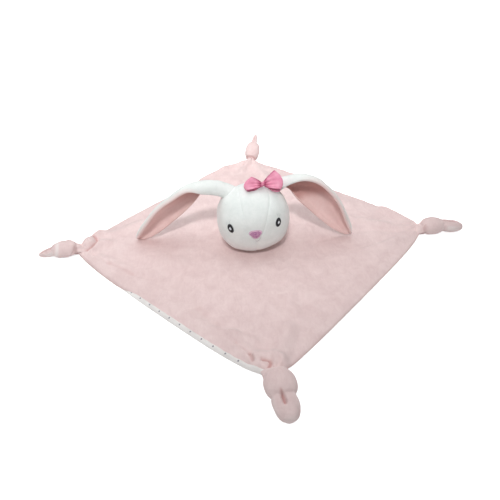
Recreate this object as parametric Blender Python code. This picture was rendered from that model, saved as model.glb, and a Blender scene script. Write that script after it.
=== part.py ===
"""Comfort blanket lovey: a bunny head sewn to a square blanket with knotted corners.

The frame's origin lies on the floor, midway between the four corner knots. +X points
to the right, -Y to the front corner and +Z up. All lengths are in metres.
"""

import math

import bmesh
import bpy
import numpy as np

# Clearance between pieces that touch
GAP = 0.0003

# Blanket, measured to the neck of each corner knot
NECK_RADIUS = 0.1938
NECK_DIRECTIONS_DEG = {"right": 0.9, "back": 86.2, "left": 180.1, "front": 271.4}
# Bulge of each side past the line between its necks, at its first and at its last neck;
# the left sides bulge to the other hand
SIDE_BOWS = {
    "front_right": (0.0044, 0.0062),
    "back_right": (0.0180, 0.0130),
    "back_left": (-0.0140, -0.0165),
    "front_left": (-0.0110, -0.0072),
}
SHOULDER_LENGTH = 0.030
TOP_THICKNESS = 0.0016
BACKING_THICKNESS = 0.0009
BACKING_ROLL = 0.0045
ROLL_STEP_SHARE = 1.3
BLANKET_CELLS = 20
EDGE_CROWDING_SHARE = 0.45

# Folds of the blanket: start and end as shares of the neck radius, then the height
# and the half width of the ridge
FOLD_LINE_SHARES = {
    "left_puff": (-0.91, 0.02, -0.84, 0.05),
    "left_front_fold": (-0.86, -0.09, -0.70, -0.21),
    "left_back_fold": (-0.82, 0.13, -0.66, 0.24),
    "back_left_roll": (-0.46, 0.50, -0.14, 0.78),
    "back_left_gather": (0.02, 0.92, -0.05, 0.70),
    "back_right_gather": (0.09, 0.92, 0.16, 0.68),
    "back_right_roll": (0.30, 0.66, 0.62, 0.36),
    "right_gather": (0.93, 0.04, 0.72, 0.10),
    "right_front_gather": (0.93, -0.02, 0.74, -0.12),
    "front_curl": (0.04, -0.93, 0.12, -0.72),
    "front_left_curl": (-0.03, -0.92, -0.16, -0.74),
    "front_wave": (-0.10, -0.52, 0.28, -0.46),
    "left_wave": (-0.70, -0.02, -0.36, -0.20),
    "right_wave": (0.34, -0.24, 0.66, -0.14),
}
FOLD_HEIGHTS = {
    "left_puff": 0.0052,
    "left_front_fold": 0.0036,
    "left_back_fold": 0.0030,
    "back_left_roll": 0.0040,
    "back_left_gather": 0.0040,
    "back_right_gather": 0.0036,
    "back_right_roll": 0.0034,
    "right_gather": 0.0036,
    "right_front_gather": 0.0030,
    "front_curl": 0.0046,
    "front_left_curl": 0.0034,
    "front_wave": 0.0020,
    "left_wave": 0.0022,
    "right_wave": 0.0020,
}
GATHER_HALF_WIDTH = 0.0075
WAVE_HALF_WIDTH = 0.012
NECK_LIFT = 0.0022
NECK_LIFT_LENGTH = 0.016
FOLD_FLOOR = 0.0006
FLAT_MIDDLE_RADIUS = 0.050
FOLDED_FROM_RADIUS = 0.080

# Corner knots and the tails that come out of them
CORNER_HEADINGS_DEG = {"right": 0.2, "back": 73.2, "left": 191.6, "front": 279.0}
CORNER_RISES_DEG = {"right": 0.0, "back": 37.4, "left": 0.0, "front": 0.0}
CORNER_LENGTHS = {"right": 0.0472, "back": 0.0420, "left": 0.0400, "front": 0.0466}
KNOT_RADII = {"right": 0.0120, "back": 0.0105, "left": 0.0125, "front": 0.0130}
TAIL_HALF_WIDTHS = {"right": 0.0082, "back": 0.0050, "left": 0.0066, "front": 0.0096}
TAIL_ROOT_HALF_WIDTHS = {"right": 0.0068, "back": 0.0050, "left": 0.0062, "front": 0.0092}
TAIL_HALF_HEIGHTS = {"right": 0.0056, "back": 0.0046, "left": 0.0052, "front": 0.0062}
TAIL_BLUNTNESS_SHARES = {"right": 3.6, "back": 1.3, "left": 1.7, "front": 4.0}
WRAP_PHASES_DEG = {"right": 20.0, "back": 200.0, "left": 150.0, "front": 60.0}
KNOT_START = 0.0004
KNOT_LENGTH = 0.0250
ROPE_RADIUS = 0.0062
NECK_FLARE = 0.0024
NECK_FLARE_LENGTH = 0.0075
NECK_AXIS_HEIGHT = 0.0060
NECK_WIDENING_SHARE = 1.22
NECK_FLATTENING_SHARE = 0.62
WRAP_HALF_LENGTH = 0.0078
WRAP_SLANT = 0.0032
PLEAT_DEPTH = 0.0007
PLEATS = 7
KNOT_FLATTENING_SHARE = 0.82
FLOOR_CUT = 0.0005
KNOT_RINGS = 16
KNOT_SIDES = 18
TAIL_DROP_SHARE = 0.3
TAIL_SWELL_SHARE = 0.45
TAIL_END_SHARE = 0.985
TAIL_RINGS = 9
TAIL_SIDES = 14

# Head
HEAD_SIDE_OFFSET = 0.0011
HEAD_FRONT_OFFSET = 0.0025
HEAD_HALF_WIDTH = 0.0389
HEAD_HALF_DEPTH = 0.0351
HEAD_HALF_HEIGHT = 0.0354
HEAD_BASE_FLATTENING = 0.0008
HEAD_ROUNDNESS_SHARE = 2.25
HEAD_HEADING_DEG = 0.5
HEAD_ROLL_DEG = -5.0
FABRIC_THICKNESS = 0.0015
GUSSET_SEAM_SHARES = (
    (-6.0, 0.09, 0.09),
    (0.0, 0.17, 0.20),
    (12.0, 0.24, 0.29),
    (37.0, 0.285, 0.41),
    (62.0, 0.31, 0.50),
    (95.0, 0.33, 0.47),
    (140.0, 0.34, 0.38),
    (190.0, 0.28, 0.28),
    (232.0, 0.12, 0.12),
)
FILLING_CLEARANCE = 0.0009
SEAM_ANGLE_SLACK_DEG = 0.01
HEAD_SECTORS = 28
PANEL_RINGS = 5
GUSSET_COLUMNS = 5
STUFFING_SECTORS = 20
STUFFING_RINGS = 12
STUFFING_END_DEG = 86.0
GUIDE_SECTORS = 48
GUIDE_RINGS = 32
GUIDE_END_DEG = 89.0
STITCH_RING_RADIUS = 0.0155
HEAD_PIVOT_SETBACK = 0.0185
THREAD_RADIUS = 0.00035

# Face, as directions from the head's centre in the head's own frame
EYE_AZIMUTH_DEG = 41.0
EYE_ELEVATION_DEG = 11.5
EYE_HALF_WIDTH = 0.00325
EYE_HALF_HEIGHT = 0.0047
EYE_TILT_DEG = 17.0
EMBROIDERY_THICKNESS = 0.0007
HIGHLIGHT_SIZE_SHARE = 0.42
HIGHLIGHT_THICKNESS = 0.0003
NOSE_ELEVATION_DEG = 1.0
NOSE_HALF_WIDTH = 0.0066
NOSE_HALF_HEIGHT = 0.0052
NOSE_THICKNESS = 0.0010
NOSE_TOP_SWELL_SHARE = 0.16
NOSE_CORNER_SHARE = 0.05
MOUTH_PATH_DEG = ((-1.0, -11.6), (0.8, -12.8), (3.2, -12.2), (5.4, -10.0), (7.2, -7.0), (8.4, -4.4))
LASH_LENGTH = 0.0052
LASH_SPREAD_DEG = 19.0
LASH_FAN_CENTRE_DEG = 50.0
LASH_CURL_DEG = 14.0
LASH_START_SHARE = 1.12
LASH_NARROWING_SHARE = 0.86
LASH_POINTS = 5
LASHES = 3
PATCH_SECTORS = 18
PATCH_RING_SHARES = (1.0, 0.6, 0.0)
PATCH_RIM_SHARE = 0.45
THREAD_SIDES = 6

# Ears: sizes of each, then sections from the root to the tip as shares of them, in the
# order reach, setback, crest height, half width and cup depth
EAR_REACHES = {"left": 0.1299, "right": 0.1101}
EAR_SETBACKS = {"left": 0.0190, "right": 0.0180}
EAR_RISES = {"left": 0.0037, "right": 0.0021}
EAR_HALF_WIDTHS = {"left": 0.0175, "right": 0.0195}
EAR_CUP_DEPTHS = {"left": 0.0112, "right": 0.0126}
EAR_SECTION_SHARES = {
    "left": (
        (0.055, 0.60, 0.78, 0.48, 0.76),
        (0.155, 0.63, 0.90, 0.52, 0.79),
        (0.262, 0.68, 0.98, 0.58, 0.75),
        (0.386, 0.76, 1.00, 0.70, 0.82),
        (0.501, 0.87, 0.935, 0.89, 0.94),
        (0.630, 0.97, 0.71, 1.00, 1.00),
        (0.761, 1.00, 0.49, 0.91, 0.87),
        (0.886, 0.95, 0.257, 0.69, 0.61),
        (0.963, 0.90, 0.116, 0.42, 0.36),
        (1.000, 0.86, 0.049, 0.17, 0.16),
    ),
    "right": (
        (0.063, 0.83, 0.82, 0.41, 0.63),
        (0.181, 0.89, 0.935, 0.44, 0.67),
        (0.312, 0.97, 1.00, 0.57, 0.75),
        (0.440, 1.00, 1.00, 0.82, 0.91),
        (0.558, 0.97, 0.92, 0.97, 1.00),
        (0.671, 0.89, 0.755, 1.00, 1.00),
        (0.782, 0.72, 0.544, 0.90, 0.86),
        (0.891, 0.47, 0.296, 0.66, 0.59),
        (0.962, 0.25, 0.146, 0.39, 0.33),
        (1.000, 0.08, 0.066, 0.15, 0.14),
    ),
}
EAR_TWISTS_DEG = {
    "left": (0.0, 0.0, 6.0, 22.0, 48.0, 62.0, 66.0, 66.0, 66.0, 66.0),
    "right": (0.0, 8.0, 34.0, 54.0, 63.0, 66.0, 66.0, 65.0, 65.0, 65.0),
}
EAR_ROWS = 15
EAR_COLUMNS = 9
EAR_REAR_EDGES_DEG = {
    "left": (-95.0, -95.0, -95.0, -92.0, -80.0, -74.0, -80.0, -90.0, -95.0, -95.0),
    "right": (-95.0, -95.0, -95.0, -95.0, -95.0, -95.0, -95.0, -95.0, -95.0, -95.0),
}
EAR_FRONT_EDGES_DEG = {
    "left": (120.0, 120.0, 120.0, 116.0, 97.0, 97.0, 98.0, 110.0, 118.0, 120.0),
    "right": (120.0, 110.0, 97.0, 94.0, 95.0, 96.0, 98.0, 110.0, 116.0, 120.0),
}
EAR_BACK_THICKNESS = 0.0015
EAR_LINING_THICKNESS = 0.0010
EAR_LINING_CLEARANCE = 0.0006
EAR_RIM = 0.0016
EAR_LEAST_SHARE = 0.25
ROOT_SEARCH_STEPS = 400

# Bow
BOW_SIDE_OFFSET = 0.0120
BOW_FRONT_OFFSET = 0.0037
BOW_LIFT = 0.0066
BOW_TILT_DEG = 5.0
BOW_LEAN_DEG = 36.0
BOW_WRAP_HALF_WIDTH = 0.0030
BOW_WRAP_HALF_HEIGHT = 0.0033
BOW_WRAP_HALF_DEPTH = 0.0027
RIBBON_THICKNESS = 0.0005
BOW_PINCH_HALF_HEIGHT = 0.0025
BOW_LOOP_HALF_DEPTH = 0.0036
BOW_LOOP_REACHES = {"left": 0.0197, "right": 0.0212}
BOW_LOOP_TOPS = {"left": 0.0089, "right": 0.0126}
BOW_LOOP_TOP_SETBACKS = {"left": 0.0088, "right": 0.0070}
BOW_LOOP_BOTTOMS = {"left": 0.0044, "right": 0.0081}
BOW_LOOP_BOTTOM_SETBACKS = {"left": 0.0026, "right": 0.0037}
BOW_FLARE_SHARE = 0.8
BOW_FOLD_SHARE = 0.35
BOW_LOOP_STEPS = 16
BOW_LOOP_ROWS = 5
BOW_WRAP_END_DEG = 80.0
BOW_WRAP_RINGS = 8
BOW_WRAP_SECTORS = 16

SIDES = {"left": -1, "right": 1}
MERGE_DISTANCE = 0.000002

# Sizes that follow from those above
CLOTH_THICKNESS = BACKING_THICKNESS + GAP + TOP_THICKNESS
NECK_CLOTH_TOP = CLOTH_THICKNESS + NECK_LIFT - FOLD_FLOOR
SEAT_HEIGHT = CLOTH_THICKNESS + GAP
HEAD_HALF_SIZE = np.array([HEAD_HALF_WIDTH, HEAD_HALF_DEPTH, HEAD_HALF_HEIGHT])
HEAD_CENTRE = np.array(
    [HEAD_SIDE_OFFSET, -HEAD_FRONT_OFFSET, SEAT_HEIGHT + HEAD_HALF_HEIGHT - HEAD_BASE_FLATTENING]
)
HEAD_TOP = HEAD_CENTRE[2] + HEAD_HALF_HEIGHT


def clear_scene() -> None:
    """Remove the objects that the file starts with."""
    for item in list(bpy.data.objects):
        bpy.data.objects.remove(item, do_unlink=True)


def material(name: str, colour: tuple, roughness: float) -> bpy.types.Material:
    """Make a plain surface of one colour."""
    surface = bpy.data.materials.new(name)
    surface.use_nodes = True
    shader = surface.node_tree.nodes["Principled BSDF"]
    shader.inputs["Base Color"].default_value = (*colour, 1.0)
    shader.inputs["Roughness"].default_value = roughness
    shader.inputs["Metallic"].default_value = 0.0
    return surface


def add_solid(name: str, points: list, faces: list, surface: bpy.types.Material):
    """Make one closed object from points and faces, with its faces pointing out."""
    mesh = bpy.data.meshes.new(name)
    mesh.from_pydata([tuple(point) for point in points], [], faces)
    shape = bmesh.new()
    shape.from_mesh(mesh)
    bmesh.ops.remove_doubles(shape, verts=shape.verts, dist=MERGE_DISTANCE)
    bmesh.ops.recalc_face_normals(shape, faces=shape.faces)
    shape.to_mesh(mesh)
    shape.free()
    mesh.materials.append(surface)
    mesh.shade_smooth()
    body = bpy.data.objects.new(name, mesh)
    bpy.context.scene.collection.objects.link(body)
    return body


def grid_faces(rows: int, columns: int, start: int, wrap: bool, flip: bool) -> list:
    """List the triangles of a grid of points, row by row."""
    faces = []
    last = columns if wrap else columns - 1
    for row in range(rows - 1):
        for column in range(last):
            beside = (column + 1) % columns
            a = start + row * columns + column
            b = start + row * columns + beside
            c = start + (row + 1) * columns + beside
            d = start + (row + 1) * columns + column
            pair = [(a, b, c), (a, c, d)]
            faces += [tri[::-1] for tri in pair] if flip else pair
    return faces


def add_plate(name: str, outer: np.ndarray, inner: np.ndarray, surface, wrap: bool = False):
    """Close the space between two grids of points into a plate."""
    rows, columns, _ = outer.shape
    count = rows * columns
    faces = grid_faces(rows, columns, 0, wrap, False)
    faces += grid_faces(rows, columns, count, wrap, True)
    last = columns if wrap else columns - 1
    for row in (0, rows - 1):
        for column in range(last):
            a = row * columns + column
            b = row * columns + (column + 1) % columns
            faces += [(a, b, count + b), (a, count + b, count + a)]
    if not wrap:
        for column in (0, columns - 1):
            for row in range(rows - 1):
                a = row * columns + column
                b = (row + 1) * columns + column
                faces += [(a, b, count + b), (a, count + b, count + a)]
    points = np.concatenate([outer.reshape(-1, 3), inner.reshape(-1, 3)])
    return add_solid(name, list(points), faces, surface)


def add_loft(name: str, rings: np.ndarray, surface):
    """Join rings of points into a solid with flat ends."""
    rows, columns, _ = rings.shape
    faces = grid_faces(rows, columns, 0, True, False)
    faces.append(tuple(range(columns)))
    faces.append(tuple((rows - 1) * columns + column for column in range(columns)))
    return add_solid(name, list(rings.reshape(-1, 3)), faces, surface)


def add_pivot(name: str, place: np.ndarray, carrier=None):
    """Put an empty on a joint's axis, carried by another pivot where it has one."""
    pivot = bpy.data.objects.new(name, None)
    bpy.context.scene.collection.objects.link(pivot)
    pivot.location = place
    if carrier is not None:
        attach(pivot, carrier)
    return pivot


def attach(item, pivot) -> None:
    """Parent an object to a pivot and keep it where it is."""
    bpy.context.view_layer.update()
    item.parent = pivot
    item.matrix_parent_inverse = pivot.matrix_world.inverted()


def smooth_step(value: float) -> float:
    """Ease from 0 to 1 as the value goes from 0 to 1."""
    value = min(max(value, 0.0), 1.0)
    return value * value * (3.0 - 2.0 * value)


def smooth_table(samples: np.ndarray, keys: np.ndarray, values: np.ndarray) -> np.ndarray:
    """Read a smooth curve through rows of values at the given keys."""
    slopes = np.gradient(values, keys, axis=0)
    result = []
    for sample in samples:
        index = int(np.clip(np.searchsorted(keys, sample) - 1, 0, len(keys) - 2))
        span = keys[index + 1] - keys[index]
        t = (sample - keys[index]) / span
        start, end = values[index], values[index + 1]
        bend = (2 * t**3 - 3 * t**2 + 1) * start + (3 * t**2 - 2 * t**3) * end
        lead = (t**3 - 2 * t**2 + t) * slopes[index] + (t**3 - t**2) * slopes[index + 1]
        result.append(bend + span * lead)
    return np.array(result)


def neck_point(name: str) -> np.ndarray:
    """Place the neck of a corner knot on the floor plan."""
    turn = math.radians(NECK_DIRECTIONS_DEG[name])
    return NECK_RADIUS * np.array([math.cos(turn), math.sin(turn)])


def side_point(start: str, end: str, bows: tuple, t: float) -> np.ndarray:
    """Follow one side of the blanket, which bulges past the line between its necks."""
    first, last = neck_point(start), neck_point(end)
    along = last - first
    length = float(np.linalg.norm(along))
    outward = np.array([along[1], -along[0]]) / length
    rise = 1.0 - math.exp(-t * length / SHOULDER_LENGTH)
    fall = 1.0 - math.exp(-(1.0 - t) * length / SHOULDER_LENGTH)
    bow = bows[0] + (bows[1] - bows[0]) * t
    return first + along * t + outward * bow * rise * fall


def blanket_point(u: float, v: float) -> np.ndarray:
    """Map the unit square onto the blanket's plan, between its four sides."""
    front_right = side_point("front", "right", SIDE_BOWS["front_right"], u)
    back_left = side_point("left", "back", SIDE_BOWS["back_left"], u)
    front_left = side_point("front", "left", SIDE_BOWS["front_left"], v)
    back_right = side_point("right", "back", SIDE_BOWS["back_right"], v)
    ruled = (1 - v) * front_right + v * back_left + (1 - u) * front_left + u * back_right
    corners = (1 - u) * (1 - v) * neck_point("front") + u * (1 - v) * neck_point("right")
    corners = corners + (1 - u) * v * neck_point("left") + u * v * neck_point("back")
    return ruled - corners


def fold_height(x: float, y: float) -> float:
    """Height of the blanket's underside over the floor, zero where it lies flat."""
    place = np.array([x, y])
    height = 0.0
    for name, line in FOLD_LINE_SHARES.items():
        start = NECK_RADIUS * np.array(line[:2])
        end = NECK_RADIUS * np.array(line[2:])
        along = end - start
        t = float(np.clip((place - start) @ along / (along @ along), 0.0, 1.0))
        distance = float(np.linalg.norm(place - start - along * t))
        half_width = WAVE_HALF_WIDTH if name.endswith(("wave", "roll")) else GATHER_HALF_WIDTH
        height += FOLD_HEIGHTS[name] * math.exp(-((distance / half_width) ** 2))
    for name in NECK_DIRECTIONS_DEG:
        distance = float(np.linalg.norm(place - neck_point(name)))
        height += NECK_LIFT * math.exp(-((distance / NECK_LIFT_LENGTH) ** 2))
    reach = float(np.linalg.norm(place))
    ramp = smooth_step((reach - FLAT_MIDDLE_RADIUS) / (FOLDED_FROM_RADIUS - FLAT_MIDDLE_RADIUS))
    return max(0.0, height * ramp - FOLD_FLOOR)


def crowded_steps(cells: int) -> np.ndarray:
    """Steps from 0 to 1 that are closer together near both ends."""
    steps = np.linspace(0.0, 1.0, cells + 1)
    return steps - EDGE_CROWDING_SHARE * np.sin(2 * np.pi * steps) / (2 * np.pi)


def blanket_grid(first_u: float, level: float) -> np.ndarray:
    """Grid of points of the blanket at one level above its underside."""
    side = math.dist(neck_point("front"), neck_point("right"))
    after_roll = ROLL_STEP_SHARE * BACKING_ROLL / side
    steps = [first_u] + [value for value in crowded_steps(BLANKET_CELLS) if value > after_roll]
    rows = []
    for u in steps:
        row = []
        for v in crowded_steps(BLANKET_CELLS):
            x, y = blanket_point(u, v)
            row.append((x, y, fold_height(x, y) + level))
        rows.append(row)
    return np.array(rows)


def build_blanket(velour, jersey) -> None:
    """Make the velour panel and the jersey panel that rolls up over one side."""
    side = math.dist(neck_point("front"), neck_point("right"))
    roll_end = BACKING_ROLL / side
    panel_start = (BACKING_ROLL + GAP) / side
    top_level = BACKING_THICKNESS + GAP
    add_plate(
        "blanket_top",
        blanket_grid(panel_start, top_level + TOP_THICKNESS),
        blanket_grid(panel_start, top_level),
        velour,
    )
    edge_low = blanket_grid(0.0, 0.0)[:1]
    inner_low = blanket_grid(roll_end, 0.0)
    edge_high = blanket_grid(0.0, CLOTH_THICKNESS)[:1]
    roll_high = blanket_grid(roll_end, CLOTH_THICKNESS)[:1]
    inner_high = blanket_grid(roll_end, BACKING_THICKNESS)
    under = np.concatenate([edge_low, inner_low[:1], inner_low])
    over = np.concatenate([edge_high, roll_high, inner_high])
    add_plate("blanket_backing", over, under, jersey)


def knot_reach(name: str, station: float, turn: float) -> float:
    """Radius of a knot: a pleated rope with a slanting wrap round it."""
    slant = WRAP_SLANT * math.sin(turn + math.radians(WRAP_PHASES_DEG[name]))
    offset = (station - (KNOT_LENGTH + KNOT_START) / 2 - slant) / WRAP_HALF_LENGTH
    rope = ROPE_RADIUS + PLEAT_DEPTH * math.cos(PLEATS * turn)
    flare = max(0.0, 1.0 - (station - KNOT_START) / NECK_FLARE_LENGTH)
    rope += NECK_FLARE * flare * flare
    middle = (KNOT_LENGTH + KNOT_START) / 2
    toward_tail = smooth_step((station - middle) / (KNOT_LENGTH - middle))
    rope += (TAIL_ROOT_HALF_WIDTHS[name] - ROPE_RADIUS) * toward_tail
    if abs(offset) >= 1.0:
        return rope
    return rope + (KNOT_RADII[name] - rope) * math.sqrt(1.0 - offset * offset)


def corner_place(name: str, along: float, across: float, height: float) -> np.ndarray:
    """Carry a point of a knot from its own frame to the blanket's corner."""
    pitch = math.radians(CORNER_RISES_DEG[name])
    rise = height - NECK_CLOTH_TOP
    lifted = along * math.cos(pitch) - rise * math.sin(pitch)
    raised = along * math.sin(pitch) + rise * math.cos(pitch) + NECK_CLOTH_TOP
    turn = math.radians(CORNER_HEADINGS_DEG[name])
    start = neck_point(name)
    x = start[0] + lifted * math.cos(turn) - across * math.sin(turn)
    y = start[1] + lifted * math.sin(turn) + across * math.cos(turn)
    return np.array([x, y, raised])


def knot_axis_height(name: str) -> float:
    """Height of a knot's middle line over the floor that it lies on."""
    return KNOT_RADII[name] * KNOT_FLATTENING_SHARE - FLOOR_CUT


def build_knot(name: str, velour, pivot) -> None:
    """Make the overhand knot of one corner, from its pinched neck outward."""
    knot_axis = knot_axis_height(name)
    rings = []
    for station in np.linspace(KNOT_START, KNOT_LENGTH, KNOT_RINGS):
        neck_share = 1.0 - smooth_step((station - KNOT_START) / NECK_FLARE_LENGTH)
        widening = 1.0 + (NECK_WIDENING_SHARE - 1.0) * neck_share
        flattening = KNOT_FLATTENING_SHARE * (1.0 - neck_share) + NECK_FLATTENING_SHARE * neck_share
        axis_height = knot_axis + (NECK_AXIS_HEIGHT - knot_axis) * neck_share
        ring = []
        for turn in np.linspace(0.0, 2 * math.pi, KNOT_SIDES, endpoint=False):
            reach = knot_reach(name, station, turn)
            across = reach * widening * math.cos(turn)
            height = axis_height + reach * flattening * math.sin(turn)
            ring.append(corner_place(name, station, across, max(0.0, height)))
        rings.append(ring)
    attach(add_loft(f"corner_knot_{name}", np.array(rings), velour), pivot)


def build_tail(name: str, velour, pivot) -> None:
    """Make the loose end of cloth that comes out of one knot."""
    knot_axis = knot_axis_height(name)
    start = KNOT_LENGTH + GAP
    rings = []
    for share in np.linspace(0.0, TAIL_END_SHARE, TAIL_RINGS):
        station = start + (CORNER_LENGTHS[name] - start) * share
        root = TAIL_ROOT_HALF_WIDTHS[name]
        swell = root + (TAIL_HALF_WIDTHS[name] - root) * smooth_step(share / TAIL_SWELL_SHARE)
        taper = math.sqrt(1.0 - share ** TAIL_BLUNTNESS_SHARES[name])
        ring = []
        for turn in np.linspace(0.0, 2 * math.pi, TAIL_SIDES, endpoint=False):
            across = swell * taper * math.cos(turn)
            lift = TAIL_HALF_HEIGHTS[name] * taper * math.sin(turn)
            height = knot_axis * (1.0 - TAIL_DROP_SHARE * share) + lift
            ring.append(corner_place(name, station, across, max(0.0, height)))
        rings.append(ring)
    attach(add_loft(f"corner_tail_{name}", np.array(rings), velour), pivot)


def build_corner(name: str, velour) -> None:
    """Make one knotted corner on a pivot at the top of its neck."""
    neck_top = NECK_AXIS_HEIGHT + (ROPE_RADIUS + NECK_FLARE) * NECK_FLATTENING_SHARE
    pivot = add_pivot(f"corner_{name}_pivot", corner_place(name, 0.0, 0.0, neck_top))
    build_knot(name, velour, pivot)
    build_tail(name, velour, pivot)


def head_axes() -> np.ndarray:
    """Axes of the head's own frame, as the columns of a matrix."""
    turn = math.radians(HEAD_HEADING_DEG)
    roll = math.radians(HEAD_ROLL_DEG)
    heading = np.array(
        [[math.cos(turn), -math.sin(turn), 0], [math.sin(turn), math.cos(turn), 0], [0, 0, 1]]
    )
    tilt = np.array(
        [[math.cos(roll), 0, math.sin(roll)], [0, 1, 0], [-math.sin(roll), 0, math.cos(roll)]]
    )
    return heading @ tilt


HEAD_AXES = head_axes()


def head_point(direction: np.ndarray, lift: float) -> np.ndarray:
    """Point over the head's rounded shape, with its underside flat on its seat."""
    direction = direction / np.linalg.norm(direction)
    total = np.sum(np.abs(direction / HEAD_HALF_SIZE) ** HEAD_ROUNDNESS_SHARE)
    reach = total ** (-1.0 / HEAD_ROUNDNESS_SHARE) + lift
    point = HEAD_CENTRE + HEAD_AXES @ (direction * reach)
    point[2] = max(point[2], SEAT_HEIGHT - lift)
    return point


def meridian_direction(latitude: float, turn: float) -> np.ndarray:
    """Direction with its poles at the cheeks; turn 0 is the face and 90 the crown."""
    across = math.cos(latitude)
    return np.array([math.sin(latitude), -across * math.cos(turn), across * math.sin(turn)])


def seam_latitude(turn_deg: float, side: float) -> float:
    """Latitude of the gusset's left or right seam, zero where the side panels meet."""
    angles, left, right = zip(*GUSSET_SEAM_SHARES)
    if turn_deg < angles[0] - SEAM_ANGLE_SLACK_DEG or turn_deg > angles[-1] + SEAM_ANGLE_SLACK_DEG:
        return 0.0
    return math.asin(float(np.interp(turn_deg, angles, left if side < 0 else right)))


def seam_turns() -> list:
    """Turns of the panels' edge, with two of them at the gusset's ends."""
    first, last = GUSSET_SEAM_SHARES[0][0], GUSSET_SEAM_SHARES[-1][0]
    over_top = int(HEAD_SECTORS * (last - first) / 360.0)
    top = list(np.linspace(first, last, over_top + 1))
    under = list(np.linspace(last, first + 360.0, HEAD_SECTORS - over_top + 1))[1:-1]
    return top + under


def sphere_rings(end_deg: float, rings: int, sectors: int, lift: float) -> np.ndarray:
    """Rings of points over the whole head, from its underside to its crown."""
    grid = []
    for tilt in np.linspace(-math.radians(end_deg), math.radians(end_deg), rings + 1):
        row = []
        for turn in np.linspace(0.0, 2 * math.pi, sectors, endpoint=False):
            level = math.cos(tilt)
            direction = np.array([level * math.cos(turn), level * math.sin(turn), math.sin(tilt)])
            row.append(head_point(direction, lift))
        grid.append(row)
    return np.array(grid)


def build_side_panel(name: str, velour, pivot) -> None:
    """Make one cheek panel of the head, from its seam round to the middle of the cheek."""
    side = SIDES[name]
    seam_gap = GAP / HEAD_HALF_WIDTH / 2
    layers = []
    for lift in (0.0, -FABRIC_THICKNESS):
        rows = []
        for ring in range(PANEL_RINGS + 1):
            row = []
            for turn_deg in seam_turns():
                edge = seam_latitude(turn_deg, side) + seam_gap
                latitude = edge + (math.pi / 2 - edge) * ring / PANEL_RINGS
                row.append(head_point(meridian_direction(side * latitude, math.radians(turn_deg)), lift))
            rows.append(row)
        layers.append(np.array(rows))
    attach(add_plate(f"head_panel_{name}", layers[0], layers[1], velour, wrap=True), pivot)


def build_gusset(velour, pivot) -> None:
    """Make the middle panel that runs from the nose over the crown to the nape."""
    seam_gap = GAP / HEAD_HALF_WIDTH / 2
    layers = []
    for lift in (0.0, -FABRIC_THICKNESS):
        rows = []
        for turn_deg in seam_turns():
            left, right = seam_latitude(turn_deg, SIDES["left"]), seam_latitude(turn_deg, SIDES["right"])
            if left == 0.0:
                continue
            turn = math.radians(turn_deg)
            latitudes = np.linspace(seam_gap - left, right - seam_gap, GUSSET_COLUMNS)
            rows.append([head_point(meridian_direction(latitude, turn), lift) for latitude in latitudes])
        layers.append(np.array(rows))
    attach(add_plate("head_gusset", layers[0], layers[1], velour), pivot)


def build_attachment_stitches(thread) -> None:
    """Make the closed ring of thread that sews the head down to the blanket."""
    centre = np.array([HEAD_CENTRE[0], HEAD_CENTRE[1], SEAT_HEIGHT + THREAD_RADIUS])
    loop = []
    for turn in np.linspace(0.0, 2 * math.pi, HEAD_SECTORS, endpoint=False):
        ring = []
        for side_turn in np.linspace(0.0, 2 * math.pi, THREAD_SIDES, endpoint=False):
            reach = STITCH_RING_RADIUS + THREAD_RADIUS * math.cos(side_turn)
            lift = THREAD_RADIUS * math.sin(side_turn)
            ring.append(centre + np.array([reach * math.cos(turn), reach * math.sin(turn), lift]))
        loop.append(ring)
    loop.append(loop[0])
    points = np.array(loop).reshape(-1, 3)
    faces = grid_faces(len(loop), THREAD_SIDES, 0, True, False)
    add_solid("head_attachment_stitches", list(points), faces, thread)


def build_head(velour, fibre, pivot) -> None:
    """Make the three fabric panels of the head and the filling inside them."""
    for name in SIDES:
        build_side_panel(name, velour, pivot)
    build_gusset(velour, pivot)
    depth = FABRIC_THICKNESS + FILLING_CLEARANCE
    rings = sphere_rings(STUFFING_END_DEG, STUFFING_RINGS, STUFFING_SECTORS, -depth)
    attach(add_loft("head_stuffing", rings, fibre), pivot)


def face_direction(azimuth_deg: float, elevation_deg: float) -> np.ndarray:
    """Direction on the head; azimuth 0 is the nose and positive is the right cheek."""
    azimuth, elevation = math.radians(azimuth_deg), math.radians(elevation_deg)
    level = math.cos(elevation)
    return np.array([level * math.sin(azimuth), -level * math.cos(azimuth), math.sin(elevation)])


def surface_offset(direction: np.ndarray, across: float, up: float) -> np.ndarray:
    """Direction of the point that lies a short way across and up the surface."""
    reach = np.linalg.norm(head_point(direction, 0.0) - HEAD_CENTRE)
    right = np.cross(np.array([0.0, 0.0, 1.0]), direction)
    right /= np.linalg.norm(right)
    rise = np.cross(direction, right)
    return direction + (right * across + rise * up) / reach


def add_patch(name: str, direction: np.ndarray, outline, base: float, thickness: float, surface):
    """Make a domed patch on the head from an outline function of the turn."""
    layers = []
    for top in (True, False):
        rows = []
        for share in PATCH_RING_SHARES:
            dome = PATCH_RIM_SHARE + (1.0 - PATCH_RIM_SHARE) * math.sqrt(1.0 - share * share)
            lift = base + thickness * dome if top else base
            row = []
            for turn in np.linspace(0.0, 2 * math.pi, PATCH_SECTORS, endpoint=False):
                across, up = outline(turn)
                row.append(head_point(surface_offset(direction, across * share, up * share), lift))
            rows.append(row)
        layers.append(np.array(rows))
    return add_plate(name, layers[0], layers[1], surface, wrap=True)


def tilted_oval(half_width: float, half_height: float, tilt_deg: float):
    """Outline of an oval that leans by an angle."""
    lean = math.radians(tilt_deg)

    def outline(turn: float) -> tuple:
        x = half_width * math.cos(turn)
        y = half_height * math.sin(turn)
        return x * math.cos(lean) - y * math.sin(lean), x * math.sin(lean) + y * math.cos(lean)

    return outline


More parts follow.
